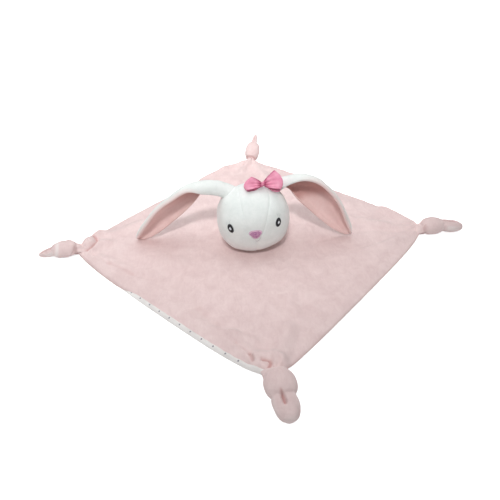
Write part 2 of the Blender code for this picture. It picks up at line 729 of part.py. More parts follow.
def nose_outline(turn: float) -> tuple:
    """Outline of a rounded triangle with its point down."""
    swell = 1.0 + NOSE_TOP_SWELL_SHARE * math.sin(turn) - NOSE_CORNER_SHARE * math.cos(2 * turn)
    return NOSE_HALF_WIDTH * swell * math.cos(turn), NOSE_HALF_HEIGHT * math.sin(turn)


def add_thread(name: str, directions: list, surface):
    """Lay a thread over the head along a list of directions."""
    lift = GAP + THREAD_RADIUS
    centres = [head_point(direction, lift) for direction in directions]
    rings = []
    for index, centre in enumerate(centres):
        before = centres[max(index - 1, 0)]
        after = centres[min(index + 1, len(centres) - 1)]
        along = (after - before) / np.linalg.norm(after - before)
        out = centre - HEAD_CENTRE
        out = out - along * (out @ along)
        out /= np.linalg.norm(out)
        across = np.cross(along, out)
        turns = np.linspace(0.0, 2 * math.pi, THREAD_SIDES, endpoint=False)
        rings.append([centre + THREAD_RADIUS * (out * math.sin(t) + across * math.cos(t)) for t in turns])
    return add_loft(name, np.array(rings), surface)


def build_eye(name: str, black, white, pivot) -> None:
    """Make one embroidered eye with its highlight and its lashes."""
    side = SIDES[name]
    direction = face_direction(side * EYE_AZIMUTH_DEG, EYE_ELEVATION_DEG)
    oval = tilted_oval(EYE_HALF_WIDTH, EYE_HALF_HEIGHT, -side * EYE_TILT_DEG)
    attach(add_patch(f"eye_{name}", direction, oval, GAP, EMBROIDERY_THICKNESS, black), pivot)

    small = tilted_oval(
        EYE_HALF_WIDTH * HIGHLIGHT_SIZE_SHARE,
        EYE_HALF_HEIGHT * HIGHLIGHT_SIZE_SHARE,
        -side * EYE_TILT_DEG,
    )
    base = GAP + EMBROIDERY_THICKNESS + GAP
    highlight = add_patch(f"eye_highlight_{name}", direction, small, base, HIGHLIGHT_THICKNESS, white)
    attach(highlight, pivot)

    for lash in range(LASHES):
        fan = math.radians(LASH_FAN_CENTRE_DEG + (lash - (LASHES - 1) / 2) * LASH_SPREAD_DEG)
        path = []
        for share in np.linspace(0.0, 1.0, LASH_POINTS):
            reach = EYE_HALF_HEIGHT * LASH_START_SHARE + LASH_LENGTH * share
            bend = fan + math.radians(LASH_CURL_DEG) * share
            across = side * reach * math.cos(bend) * LASH_NARROWING_SHARE
            path.append(surface_offset(direction, across, reach * math.sin(bend)))
        attach(add_thread(f"lash_{name}_{lash + 1}", path, black), pivot)


def build_muzzle(mauve, grey, pivot) -> None:
    """Make the satin-stitched nose and the small thread mouth under it."""
    place = face_direction(0.0, NOSE_ELEVATION_DEG)
    attach(add_patch("nose", place, nose_outline, GAP, NOSE_THICKNESS, mauve), pivot)
    attach(add_thread("mouth_stitch", [face_direction(*pair) for pair in MOUTH_PATH_DEG], grey), pivot)


def head_guide():
    """Make a guide that trims pieces sewn to the head to its surface."""
    rings = sphere_rings(GUIDE_END_DEG, GUIDE_RINGS, GUIDE_SECTORS, GAP)
    guide = add_loft("head_guide", rings, bpy.data.materials[0])
    guide.hide_render = True
    guide.display_type = "WIRE"
    return guide


def trim_to_head(body, guide) -> None:
    """Cut away what a piece would have inside the head."""
    cut = body.modifiers.new("trim_to_head", "BOOLEAN")
    cut.operation = "DIFFERENCE"
    cut.solver = "EXACT"
    cut.object = guide


def ear_crests(name: str) -> np.ndarray:
    """Points of an ear's crest, from inside the head to the tip over the blanket."""
    side = SIDES[name]
    crest_height = HEAD_TOP + EAR_RISES[name] - CLOTH_THICKNESS
    crests = []
    for reach_share, setback_share, height_share, _, _ in EAR_SECTION_SHARES[name]:
        x = HEAD_CENTRE[0] + side * EAR_REACHES[name] * reach_share
        y = HEAD_CENTRE[1] + EAR_SETBACKS[name] * setback_share
        crests.append((x, y, CLOTH_THICKNESS + crest_height * height_share))
    return np.array(crests)


def ear_sizes(name: str) -> np.ndarray:
    """Half width, cup depth, twist and both edges of an ear at each of its sections."""
    sizes = []
    turns = zip(EAR_TWISTS_DEG[name], EAR_REAR_EDGES_DEG[name], EAR_FRONT_EDGES_DEG[name])
    for shares, angles_deg in zip(EAR_SECTION_SHARES[name], turns):
        half_width = EAR_HALF_WIDTHS[name] * shares[3]
        depth = EAR_CUP_DEPTHS[name] * shares[4]
        sizes.append((half_width, depth, *np.radians(angles_deg)))
    return np.array(sizes)


def ear_layer(name: str, inset: float, rim: float) -> np.ndarray:
    """Grid of points over one ear, some way inside the surface of its back."""
    crests = ear_crests(name)
    keys = np.arange(len(crests), dtype=float)
    samples = np.linspace(0.0, keys[-1], EAR_ROWS + 1)
    middle = smooth_table(samples, keys, crests)
    shape = smooth_table(samples, keys, ear_sizes(name))
    rows = []
    for index, crest in enumerate(middle):
        before, after = middle[max(index - 1, 0)], middle[min(index + 1, len(middle) - 1)]
        along = (after - before) / np.linalg.norm(after - before)
        back = np.array([0.0, 1.0, 0.0])
        back = back - along * (back @ along)
        back /= np.linalg.norm(back)
        up = np.cross(along, back)
        up = up if up[2] > 0 else -up
        half_width, depth, twist, rear, front = shape[index]
        wide = -back * math.cos(twist) + up * math.sin(twist)
        outward = up * math.cos(twist) + back * math.sin(twist)
        wide_reach = max(half_width - inset, half_width * EAR_LEAST_SHARE)
        deep_reach = max(depth - inset, depth * EAR_LEAST_SHARE)
        trim = rim / max((half_width + depth) / 2, rim * 2)
        centre = crest - outward * depth
        row = []
        for turn in np.linspace(rear + trim, front - trim, EAR_COLUMNS + 1):
            spread = wide * wide_reach * math.sin(turn)
            row.append(centre + spread + outward * deep_reach * math.cos(turn))
        rows.append(row)
    return np.array(rows)


def ear_root(name: str) -> np.ndarray:
    """Point where the crest of an ear comes out of the head."""
    crests = ear_crests(name)
    keys = np.arange(len(crests), dtype=float)
    for point in smooth_table(np.linspace(0.0, keys[-1], ROOT_SEARCH_STEPS), keys, crests):
        offset = HEAD_AXES.T @ (point - HEAD_CENTRE)
        if np.linalg.norm(offset) > np.linalg.norm(head_point(offset, GAP) - HEAD_CENTRE):
            return point
    return crests[0]


def build_ear(name: str, velour, lining, guide, carrier) -> None:
    """Make the back and the lining of one drooping ear, on a pivot at its root."""
    pivot = add_pivot(f"ear_{name}_pivot", ear_root(name), carrier)
    lining_depth = EAR_BACK_THICKNESS + EAR_LINING_CLEARANCE
    outer, inner = ear_layer(name, 0.0, 0.0), ear_layer(name, EAR_BACK_THICKNESS, 0.0)
    back = add_plate(f"ear_{name}_back", outer, inner, velour)
    outer = ear_layer(name, lining_depth, EAR_RIM)[:-1]
    inner = ear_layer(name, lining_depth + EAR_LINING_THICKNESS, EAR_RIM)[:-1]
    inside = add_plate(f"ear_{name}_lining", outer, inner, lining)
    for body in (back, inside):
        trim_to_head(body, guide)
        attach(body, pivot)


def bow_axes() -> tuple:
    """Axes of the bow: along its loops, up its face and out of its face."""
    tilt, lean = math.radians(BOW_TILT_DEG), math.radians(BOW_LEAN_DEG)
    across = np.array([1.0, 0.0, 0.0])
    up = np.array([0.0, math.sin(lean), math.cos(lean)])
    out = np.array([0.0, -math.cos(lean), math.sin(lean)])
    along = across * math.cos(tilt) + up * math.sin(tilt)
    rise = up * math.cos(tilt) - across * math.sin(tilt)
    return along, rise, out


def bow_centre() -> np.ndarray:
    """Middle of the bow, over the crown of the head."""
    return head_point(np.array([BOW_SIDE_OFFSET, -BOW_FRONT_OFFSET, HEAD_HALF_HEIGHT]), BOW_LIFT)


def bow_loop_layer(name: str, inset: float) -> np.ndarray:
    """Grid of points round one ribbon loop, some way inside its outer face."""
    along, rise, out = bow_axes()
    start = BOW_WRAP_HALF_WIDTH + GAP + inset
    rows = []
    for level in np.linspace(-1.0, 1.0, BOW_LOOP_ROWS + 1):
        height = BOW_LOOP_TOPS[name] if level > 0 else BOW_LOOP_BOTTOMS[name]
        setback = BOW_LOOP_TOP_SETBACKS[name] if level > 0 else BOW_LOOP_BOTTOM_SETBACKS[name]
        reach = BOW_LOOP_REACHES[name] - setback * level * level - inset
        row = []
        for turn in np.linspace(0.0, 2 * math.pi, BOW_LOOP_STEPS, endpoint=False):
            share = (1.0 - math.cos(turn)) / 2
            flare = BOW_PINCH_HALF_HEIGHT + (height - BOW_PINCH_HALF_HEIGHT) * share**BOW_FLARE_SHARE
            fold = BOW_FOLD_SHARE + (1.0 - BOW_FOLD_SHARE) * share
            depth = (BOW_LOOP_HALF_DEPTH - inset) * math.sin(turn) * fold
            place = SIDES[name] * (start + (reach - start) * share)
            row.append(bow_centre() + along * place + rise * level * flare + out * depth)
        rows.append(row)
    return np.array(rows)


def build_bow(satin, guide, pivot) -> None:
    """Make the two ribbon loops and the band wrapped round their middle."""
    for name in SIDES:
        outer, inner = bow_loop_layer(name, 0.0), bow_loop_layer(name, RIBBON_THICKNESS)
        attach(add_plate(f"bow_loop_{name}", outer, inner, satin, wrap=True), pivot)
    along, rise, out = bow_axes()
    end = math.radians(BOW_WRAP_END_DEG)
    rings = []
    for tilt in np.linspace(-end, end, BOW_WRAP_RINGS + 1):
        side = BOW_WRAP_HALF_WIDTH * math.sin(tilt) / math.sin(end)
        round_share = math.sqrt(math.cos(tilt))
        ring = []
        for turn in np.linspace(0.0, 2 * math.pi, BOW_WRAP_SECTORS, endpoint=False):
            up = BOW_WRAP_HALF_HEIGHT * round_share * math.sin(turn)
            deep = BOW_WRAP_HALF_DEPTH * round_share * math.cos(turn)
            ring.append(bow_centre() + along * side + rise * up + out * deep)
        rings.append(ring)
    wrap = add_loft("bow_centre_wrap", np.array(rings), satin)
    trim_to_head(wrap, guide)
    attach(wrap, pivot)


def main() -> None:
    """Build the whole comforter."""
    clear_scene()
    pink = material("pink_velour", (0.86, 0.66, 0.66), 0.95)
    white = material("white_velour", (0.85, 0.87, 0.86), 0.95)
    jersey = material("dotted_jersey", (0.86, 0.86, 0.85), 0.9)
    fibre = material("polyester_filling", (0.9, 0.9, 0.9), 1.0)
    thread = material("white_thread", (0.8, 0.8, 0.8), 0.8)
    black = material("black_thread", (0.012, 0.012, 0.014), 0.6)
    glint = material("highlight_thread", (0.85, 0.87, 0.9), 0.6)
    mauve = material("mauve_thread", (0.42, 0.13, 0.30), 0.6)
    grey = material("grey_thread", (0.45, 0.42, 0.45), 0.7)
    satin = material("pink_satin", (0.84, 0.22, 0.38), 0.35)

    build_blanket(pink, jersey)
    for name in CORNER_LENGTHS:
        build_corner(name, pink)
    hinge_place = HEAD_CENTRE * (1.0, 1.0, 0.0) + (0.0, HEAD_PIVOT_SETBACK, SEAT_HEIGHT)
    head_pivot = add_pivot("head_pivot", hinge_place)
    build_head(white, fibre, head_pivot)
    build_attachment_stitches(thread)
    for name in SIDES:
        build_eye(name, black, glint, head_pivot)
    build_muzzle(mauve, grey, head_pivot)
    guide = head_guide()
    for name in SIDES:
        build_ear(name, white, pink, guide, head_pivot)
    build_bow(satin, guide, head_pivot)


if __name__ == "__main__":
    main()
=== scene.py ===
"""Dressed comfort blanket lovey: a bunny head sewn to a blanket with knotted corners.

The frame's origin lies on the floor, midway between the four corner knots. +X points
to the right, -Y to the front corner and +Z up. All lengths are in metres.
"""

import logging
import math
from dataclasses import dataclass, field
from enum import Enum

import bmesh
import bpy
import numpy as np
from mathutils import Matrix


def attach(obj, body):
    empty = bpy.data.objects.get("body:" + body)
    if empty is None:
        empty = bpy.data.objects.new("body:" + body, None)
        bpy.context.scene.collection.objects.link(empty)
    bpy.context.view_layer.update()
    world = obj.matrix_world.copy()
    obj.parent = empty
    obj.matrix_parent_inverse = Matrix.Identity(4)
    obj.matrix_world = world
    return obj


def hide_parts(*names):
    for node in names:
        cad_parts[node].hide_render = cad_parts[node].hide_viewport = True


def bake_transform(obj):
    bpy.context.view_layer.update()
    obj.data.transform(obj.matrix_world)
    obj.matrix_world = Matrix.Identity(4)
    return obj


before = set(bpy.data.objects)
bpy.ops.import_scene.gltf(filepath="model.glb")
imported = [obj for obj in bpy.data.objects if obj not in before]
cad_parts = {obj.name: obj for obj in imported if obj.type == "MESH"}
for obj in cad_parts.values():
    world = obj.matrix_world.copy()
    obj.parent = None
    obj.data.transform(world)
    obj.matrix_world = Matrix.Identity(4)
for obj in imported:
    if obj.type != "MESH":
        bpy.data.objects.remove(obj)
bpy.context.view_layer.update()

LOG = logging.getLogger("lovey")
TAU = 2.0 * math.pi
WHITE = (1.0, 1.0, 1.0, 1.0)

# Colour sockets of Blender's mix node, whose names repeat
COLOUR_A, COLOUR_B, COLOUR_RESULT = 6, 7, 2
# Bands that Blender's wave texture lays in one unit at scale 1
WAVES_PER_SCALE = 3.2


class Side(Enum):
    """Left or right half of the bunny, seen from the camera."""

    LEFT = -1
    RIGHT = 1

    @property
    def word(self) -> str:
        """Name used in nodes and bodies."""
        return self.name.lower()


class Corner(Enum):
    """Knotted corner of the blanket."""

    RIGHT = "right"
    BACK = "back"
    LEFT = "left"
    FRONT = "front"


class Hold(Enum):
    """Ways in which a sheet of cloth is held."""

    LAID = "laid"
    HUNG = "hung"
    FOLDED = "folded"


# ---------------------------------------------------------------- shapes


def soft_noise(points: np.ndarray, size: float, seed: int) -> np.ndarray:
    """Smooth noise of about unit height over points.

    Args:
        points: Array whose last axis holds the coordinates.
        size: Typical distance between two bumps.
        seed: Seed of the waves' directions.

    Returns:
        Heights, one for each point.
    """
    rng = np.random.default_rng(seed)
    total = np.zeros(points.shape[:-1])
    waves = 9
    for _ in range(waves):
        direction = rng.normal(size=points.shape[-1])
        direction /= np.linalg.norm(direction)
        length = size * rng.uniform(0.7, 1.6)
        total += np.sin(points @ direction * (TAU / length) + rng.uniform(0.0, TAU))
    return total / math.sqrt(waves)


def smooth_step(value: np.ndarray) -> np.ndarray:
    """Ease from 0 to 1 as the value goes from 0 to 1."""
    value = np.clip(value, 0.0, 1.0)
    return value * value * (3.0 - 2.0 * value)


def smooth_table(samples: np.ndarray, keys: np.ndarray, values: np.ndarray) -> np.ndarray:
    """Read a smooth curve through rows of values.

    Args:
        samples: Places at which to read.
        keys: Places of the rows.
        values: Rows of values.

    Returns:
        One row of values for each sample.
    """
    slopes = np.gradient(values, keys, axis=0)
    index = np.clip(np.searchsorted(keys, samples) - 1, 0, len(keys) - 2)
    span = (keys[index + 1] - keys[index])[:, None]
    t = (samples - keys[index])[:, None] / span
    start, end = values[index], values[index + 1]
    bend = (2 * t**3 - 3 * t**2 + 1) * start + (3 * t**2 - 2 * t**3) * end
    lead = (t**3 - 2 * t**2 + t) * slopes[index] + (t**3 - t**2) * slopes[index + 1]
    return bend + span * lead


def grid_quads(rows: int, columns: int, start: int, wrap: bool) -> list:
    """List the four-sided faces of a grid of points, row by row."""
    last = columns if wrap else columns - 1
    row, column = np.meshgrid(np.arange(rows - 1), np.arange(last), indexing="ij")
    beside = (column + 1) % columns
    faces = np.stack(
        [
            start + row * columns + column,
            start + row * columns + beside,
            start + (row + 1) * columns + beside,
            start + (row + 1) * columns + column,
        ],
        axis=-1,
    )
    return faces.reshape(-1, 4).tolist()


def new_piece(name: str, points: np.ndarray, faces: list, finish: bpy.types.Material) -> bpy.types.Object:
    """Make one closed smooth piece with its faces outward.

    Args:
        name: Name of the object.
        points: Corner points, one row each.
        faces: Lists of point numbers.
        finish: Material of the piece.

    Returns:
        The new object, at the origin.
    """
    mesh = bpy.data.meshes.new(name)
    mesh.from_pydata(points.tolist(), [], faces)
    shape = bmesh.new()
    shape.from_mesh(mesh)
    bmesh.ops.recalc_face_normals(shape, faces=shape.faces)
    shape.to_mesh(mesh)
    shape.free()
    mesh.materials.append(finish)
    mesh.shade_smooth()
    piece = bpy.data.objects.new(name, mesh)
    bpy.context.scene.collection.objects.link(piece)
    return piece


def border(rows: int, columns: int) -> tuple:
    """Walk round a grid's border.

    Returns:
        Two lists of (row, column): the border itself and the points just inside it.
    """
    walk = [(0, c) for c in range(columns)]
    walk += [(r, columns - 1) for r in range(1, rows)]
    walk += [(rows - 1, c) for c in range(columns - 2, -1, -1)]
    walk += [(r, 0) for r in range(rows - 2, 0, -1)]
    inside = [(min(max(r, 1), rows - 2), min(max(c, 1), columns - 2)) for r, c in walk]
    return walk, inside


def rim_loop(
    outer: np.ndarray, inner: np.ndarray, inward: np.ndarray, steps: int, swell: float
) -> np.ndarray:
    """Rounded rim between two borders of a cloth.

    Args:
        outer: Border points of the outer face.
        inner: Border points of the inner face.
        inward: Points just inside the border, halfway through the cloth.
        steps: Rows of points in the rim.
        swell: How round the rim is; 1 is a half circle.

    Returns:
        Array of steps rows of points.
    """
    middle = (outer + inner) / 2
    half = (outer - inner) / 2
    outward = middle - inward
    outward /= np.linalg.norm(outward, axis=-1, keepdims=True) + 1e-12
    radius = np.linalg.norm(half, axis=-1, keepdims=True)
    rows = []
    for step in range(1, steps + 1):
        angle = math.pi * step / (steps + 1)
        rows.append(middle + half * math.cos(angle) + outward * radius * swell * math.sin(angle))
    return np.array(rows)


def cloth(
    name: str,
    outer: np.ndarray,
    inner: np.ndarray,
    finish: bpy.types.Material,
    wrap: bool = False,
    steps: int = 3,
    swell: float = 1.0,
) -> bpy.types.Object:
    """Close two faces of a cloth with a rounded rim.

    Args:
        name: Name of the object.
        outer: Grid of points of the outer face.
        inner: Grid of points of the inner face.
        finish: Material of the piece.
        wrap: Whether the grid's last column meets its first.
        steps: Rows of points in the rim.
        swell: How round the rim is.

    Returns:
        The new object.
    """
    rows, columns, _ = outer.shape
    count = rows * columns
    points = [outer.reshape(-1, 3), inner.reshape(-1, 3)]
    faces = grid_quads(rows, columns, 0, wrap)
    faces += [quad[::-1] for quad in grid_quads(rows, columns, count, wrap)]
    middle = (outer + inner) / 2
    if wrap:
        loops = [
            ([(row, column) for column in range(columns)], [(inward, column) for column in range(columns)])
            for row, inward in ((0, 1), (rows - 1, rows - 2))
        ]
    else:
        loops = [border(rows, columns)]
    start = 2 * count
    for walk, inside in loops:
        index = tuple(np.array(walk).T)
        near = tuple(np.array(inside).T)
        rim = rim_loop(outer[index], inner[index], middle[near], steps, swell)
        points.append(rim.reshape(-1, 3))
        flat = [row * columns + column for row, column in walk]
        length = len(flat)
        lines = [flat]
        lines += [list(range(start + step * length, start + (step + 1) * length)) for step in range(steps)]
        lines.append([count + number for number in flat])
        start += steps * length
        for upper, lower in zip(lines[:-1], lines[1:]):
            for place in range(length):
                after = (place + 1) % length
                faces.append([upper[place], upper[after], lower[after], lower[place]])
    return new_piece(name, np.concatenate(points), faces, finish)


def tube(rings: np.ndarray, start: int) -> tuple:
    """Close a row of rings with a fan at each end.

    Args:
        rings: Array of rings of points.
        start: Number of the first point.

    Returns:
        The points and the faces.
    """
    rows, columns, _ = rings.shape
    points = np.concatenate([rings.reshape(-1, 3), [rings[0].mean(axis=0)], [rings[-1].mean(axis=0)]])
    faces = grid_quads(rows, columns, start, True)
    first, last = start + rows * columns, start + rows * columns + 1
    for column in range(columns):
        beside = (column + 1) % columns
        faces.append([start + beside, start + column, first])
        bottom = start + (rows - 1) * columns
        faces.append([bottom + column, bottom + beside, last])
    return points, faces


def bake(piece: bpy.types.Object) -> None:
    """Turn a piece's modifiers into a plain mesh and remove them."""
    bpy.context.view_layer.update()
    graph = bpy.context.evaluated_depsgraph_get()
    mesh = bpy.data.meshes.new_from_object(piece.evaluated_get(graph))
    mesh.name = piece.name
    piece.modifiers.clear()
    piece.data = mesh


def point_values(piece: bpy.types.Object, name: str, values: np.ndarray) -> None:
    """Store one number for each point of a piece, for its material to read."""
    attribute = piece.data.attributes.new(name, "FLOAT", "POINT")
    attribute.data.foreach_set("value", values.astype(np.float32))


def point_places(piece: bpy.types.Object, name: str, places: np.ndarray) -> None:
    """Store coordinates for each point of a piece, for its material to read."""
    attribute = piece.data.attributes.new(name, "FLOAT_VECTOR", "POINT")
    attribute.data.foreach_set("vector", places.astype(np.float32).ravel())


def vectors(rows: bpy.types.bpy_prop_collection, name: str) -> np.ndarray:
    """Read the named vector of every item in a mesh's collection."""
    values = np.empty(len(rows) * 3)
    rows.foreach_get(name, values)
    return values.reshape(-1, 3)


def mesh_points(piece: bpy.types.Object) -> np.ndarray:
    """Points of a piece's mesh, one row each."""
    return vectors(piece.data.vertices, "co")


def mesh_normals(piece: bpy.types.Object) -> np.ndarray:
    """Normals at a piece's points, one row each."""
    return vectors(piece.data.vertex_normals, "vector")


def whole_turn(count: int) -> np.ndarray:
    """Even steps round a full circle, in radians."""
    return np.linspace(0.0, TAU, count, endpoint=False)


# ---------------------------------------------------------------- finishes


def shade(red: float, green: float, blue: float) -> tuple:
    """Colour for a shader, from the numbers 0 to 255 that a screen shows."""
    linear = []
    for level in (red, green, blue):
        level /= 255.0
        linear.append(level / 12.92 if level <= 0.04045 else ((level + 0.055) / 1.055) ** 2.4)
    return (*linear, 1.0)


def seen_rays(tree: bpy.types.NodeTree) -> bpy.types.NodeSocket:
    """One for rays from the camera, in gloss or through glass, and zero for all others."""
    rays = tree.nodes.new("ShaderNodeLightPath").outputs
    seen = rays["Is Camera Ray"]
    for kind in ("Is Glossy Ray", "Is Transmission Ray"):
        either = tree.nodes.new("ShaderNodeMath")
        either.operation = "MAXIMUM"
        tree.links.new(seen, either.inputs[0])
        tree.links.new(rays[kind], either.inputs[1])
        seen = either.outputs[0]
    return seen


class Dye:
    """Material under construction, with short calls for the nodes that it needs."""

    def __init__(self, name: str) -> None:
        """Start a material with its shader.

        Args:
            name: Name of the material.
        """
        self.material = bpy.data.materials.new(name)
        self.material.use_nodes = True
        self.tree = self.material.node_tree
        self.shader = self.tree.nodes["Principled BSDF"]
        self.place = self.tree.nodes.new("ShaderNodeTexCoord").outputs["Object"]

    def set(self, **values: float) -> None:
        """Set sockets of the shader, with underscores for the spaces in their names."""
        for name, value in values.items():
            self.shader.inputs[name.replace("_", " ")].default_value = value

    def node(self, kind: str, values: dict, links: dict) -> bpy.types.Node:
        """Add a node.

        Args:
            kind: Type of the node.
            values: Properties and socket values.
            links: Sockets to join to its inputs.

        Returns:
            The node.
        """
        node = self.tree.nodes.new(kind)
        for name, value in values.items():
            if isinstance(name, str) and hasattr(node, name):
                setattr(node, name, value)
            else:
                node.inputs[name].default_value = value
        for name, source in links.items():
            self.tree.links.new(source, node.inputs[name])
        return node

    def feed(self, socket: bpy.types.NodeSocket, value) -> None:
        """Set a socket to a number or colour, or join another socket to it."""
        if isinstance(value, (int, float, tuple)):
            socket.default_value = value
        else:
            self.tree.links.new(value, socket)

    def noise(self, size: float, detail: float = 2.0, rough: float = 0.5, bend: float = 0.0, source=None):
        """Noise whose bumps are about one size apart, from 0 to 1."""
        values = {"Scale": 1.0 / size, "Detail": detail, "Roughness": rough, "Distortion": bend}
        return self.node("ShaderNodeTexNoise", values, {"Vector": source or self.place}).outputs["Fac"]

    def stretched(self, turn: tuple, scale: tuple):
        """Coordinates turned and stretched about the origin."""
        values = {"Rotation": turn, "Scale": scale}
        return self.node("ShaderNodeMapping", values, {"Vector": self.place}).outputs["Vector"]

    def ramp(self, source, low: float, high: float, start: float = 0.0, end: float = 1.0):
        """Carry a range of numbers to another one, without going past its ends."""
        values = {"From Min": low, "From Max": high, "To Min": start, "To Max": end}
        return self.node("ShaderNodeMapRange", values, {"Value": source}).outputs["Result"]

    def maths(self, operation: str, first, second):
        """Join two numbers or sockets by an operation."""
        node = self.tree.nodes.new("ShaderNodeMath")
        node.operation = operation
        self.feed(node.inputs[0], first)
        self.feed(node.inputs[1], second)
        return node.outputs[0]

    def mix(self, factor, first, second):
        """Blend two colours."""
        node = self.tree.nodes.new("ShaderNodeMix")
        node.data_type = "RGBA"
        self.tree.links.new(factor, node.inputs["Factor"])
        self.feed(node.inputs[COLOUR_A], first)
        self.feed(node.inputs[COLOUR_B], second)
        return node.outputs[COLOUR_RESULT]

    def stored(self, name: str, output: str = "Fac"):
        """Number, or with Vector the coordinates, stored at the points of a piece."""
        return self.node("ShaderNodeAttribute", {"attribute_name": name}, {}).outputs[output]

    def ribs(self, place, direction: str, spacing: float, bend: float):
        """Straight ribs across one direction, from 0 to 1."""
        scale = 1.0 / spacing / WAVES_PER_SCALE
        values = {"wave_type": "BANDS", "bands_direction": direction, "Scale": scale, "Distortion": bend}
        return self.node("ShaderNodeTexWave", values, {"Vector": place}).outputs["Fac"]

    def bump(self, height, distance: float, strength: float = 1.0, under=None):
        """Bump from a height between 0 and 1."""
        links = {"Height": height}
        if under is not None:
            links["Normal"] = under
        values = {"Distance": distance, "Strength": strength}
        return self.node("ShaderNodeBump", values, links).outputs["Normal"]

    def finish(self, colour, normal=None) -> bpy.types.Material:
        """Join the colour and the bump to the shader.

        Args:
            colour: Socket of the colour.
            normal: Socket of the bump.

        Returns:
            The material.
        """
        self.tree.links.new(colour, self.shader.inputs["Base Color"])
        if normal is not None:
            self.tree.links.new(normal, self.shader.inputs["Normal"])
        return self.material


@dataclass(frozen=True)
class VelourFinish:
    """Short brushed pile that lies in soft patches."""

    name: str
    light: tuple
    deep: tuple
    pale_tint_and_bounce: tuple
    # Colour of crushed pile, which also stands for painted shade in creases, hollows and under low edges
    pressed_pile_and_shade: tuple = shade(186, 132, 128)
    patch_size: float = 0.016
    streak_size: float = 0.0045
    grain_size: float = 0.0009
    sheen: float = 0.35
    brushed: float = 0.45

    def build(self) -> bpy.types.Material:
        """Build the material; its other colours show where a piece stores them: a second tint where another
        cloth shows, with painted pink bounce light low on the head, and crushed pile with painted shade.
        """
        dye = Dye(self.name)
        dye.set(Roughness=1.0, Sheen_Weight=self.sheen, Sheen_Roughness=0.45, Specular_IOR_Level=0.15)
        patches = dye.noise(self.patch_size, 3.0, 0.55, 0.6)
        streaks = dye.noise(self.streak_size, 3.0, 0.6, 1.2, dye.stretched((0.0, 0.0, 0.7), (1.0, 0.45, 1.0)))
        grain = dye.noise(self.grain_size, 2.0, 0.6)
        tone = dye.maths("ADD", dye.ramp(patches, 0.3, 0.7, 0.0, 0.5), dye.ramp(streaks, 0.3, 0.7, 0.0, 0.35))
        tone = dye.maths("ADD", tone, dye.ramp(grain, 0.3, 0.7, 0.0, 0.15))
        colour = dye.mix(tone, self.deep, self.light)
        # Second tint where another cloth shows, and painted pink bounce light low on the head
        colour = dye.mix(dye.stored("pale_tint_and_bounce"), colour, self.pale_tint_and_bounce)
        # Painted shade, with the darker colour of crushed pile
        colour = dye.mix(dye.stored("pressed_pile_and_shade"), colour, self.pressed_pile_and_shade)
        soft = dye.bump(patches, 0.0006, self.brushed)
        soft = dye.bump(streaks, 0.0004, self.brushed, soft)
        return dye.finish(colour, dye.bump(grain, 0.00022, 0.6, soft))


@dataclass(frozen=True)
class JerseyFinish:
    """Smooth white knit with rows of small grey dots."""

    name: str
    ground: tuple
    shadow: tuple
    dot: tuple
    dot_spacing: float = 0.0141
    dot_radius: float = 0.00072
    rib: float = 0.0007

    def build(self) -> bpy.types.Material:
        """Build the material; dots follow the place that the piece stores as flat."""
        dye = Dye(self.name)
        dye.set(Roughness=0.92, Sheen_Weight=0.15, Sheen_Roughness=0.5, Specular_IOR_Level=0.2)
        flat = dye.stored("flat", "Vector")
        values = {"voronoi_dimensions": "2D", "Scale": 1.0 / self.dot_spacing, "Randomness": 0.0}
        cells = dye.node("ShaderNodeTexVoronoi", values, {"Vector": flat}).outputs["Distance"]
        edge = self.dot_radius / self.dot_spacing
        dots = dye.ramp(cells, edge * 1.25, edge * 0.8)
        ribs = dye.ribs(flat, "X", self.rib, 0.4)
        tone = dye.ramp(dye.noise(0.012, 3.0), 0.3, 0.7)
        colour = dye.mix(dots, dye.mix(tone, self.shadow, self.ground), self.dot)
        knit = dye.bump(ribs, 0.00005, 0.4)
        return dye.finish(colour, dye.bump(dye.noise(0.003), 0.0003, 0.4, knit))


@dataclass(frozen=True)
class SatinFinish:
    """Ribbon with a fine rib across it and a soft gloss."""

    name: str
    light: tuple
    deep: tuple
    edge: tuple
    rib: float = 0.00055

    def build(self) -> bpy.types.Material:
        """Build the material; ribs follow the place that the piece stores as flat."""
        dye = Dye(self.name)
        dye.set(Roughness=0.42, Sheen_Weight=0.2, Sheen_Roughness=0.3, Specular_IOR_Level=0.35)
        ribs = dye.ribs(dye.stored("flat", "Vector"), "Y", self.rib, 0.25)
        crowns = dye.ramp(ribs, 0.0, 1.0, 0.0, 0.18)
        tone = dye.maths("ADD", crowns, dye.ramp(dye.noise(0.005, 3.0), 0.3, 0.7, 0.1, 0.7))
        colour = dye.mix(tone, self.deep, self.light)
        # Edge colour: darker lines along the ribbon's edges, and painted shade in the pinch pleats and the
        # band's folds
        colour = dye.mix(dye.stored("edge"), colour, self.edge)
        cloudy = dye.bump(dye.noise(0.004), 0.0003, 0.4)
        return dye.finish(colour, dye.bump(ribs, 0.00007, 0.6, cloudy))


@dataclass(frozen=True)
class ThreadFinish:
    """Embroidery or sewing thread with a little gloss along it."""

    name: str
    light: tuple
    deep: tuple
    roughness: float
    speckle: float = 0.0012

    def build(self) -> bpy.types.Material:
        """Build the material."""
        dye = Dye(self.name)
        dye.set(Roughness=self.roughness, Sheen_Weight=0.1, Specular_IOR_Level=0.3)
        speckle = dye.ramp(dye.noise(self.speckle, 2.0, 0.7), 0.38, 0.62)
        return dye.finish(dye.mix(speckle, self.deep, self.light), dye.bump(dye.noise(0.0003), 0.00006, 0.6))


@dataclass(frozen=True)
class FibreFinish:
    """Loose polyester filling."""

    name: str
    light: tuple
    deep: tuple

    def build(self) -> bpy.types.Material:
        """Build the material."""
        dye = Dye(self.name)
        dye.set(Roughness=1.0, Sheen_Weight=0.3, Sheen_Roughness=0.6)
        tangle = dye.noise(0.003, 5.0, 0.7, 2.5)
        return dye.finish(dye.mix(tangle, self.deep, self.light), dye.bump(tangle, 0.0008, 0.8))


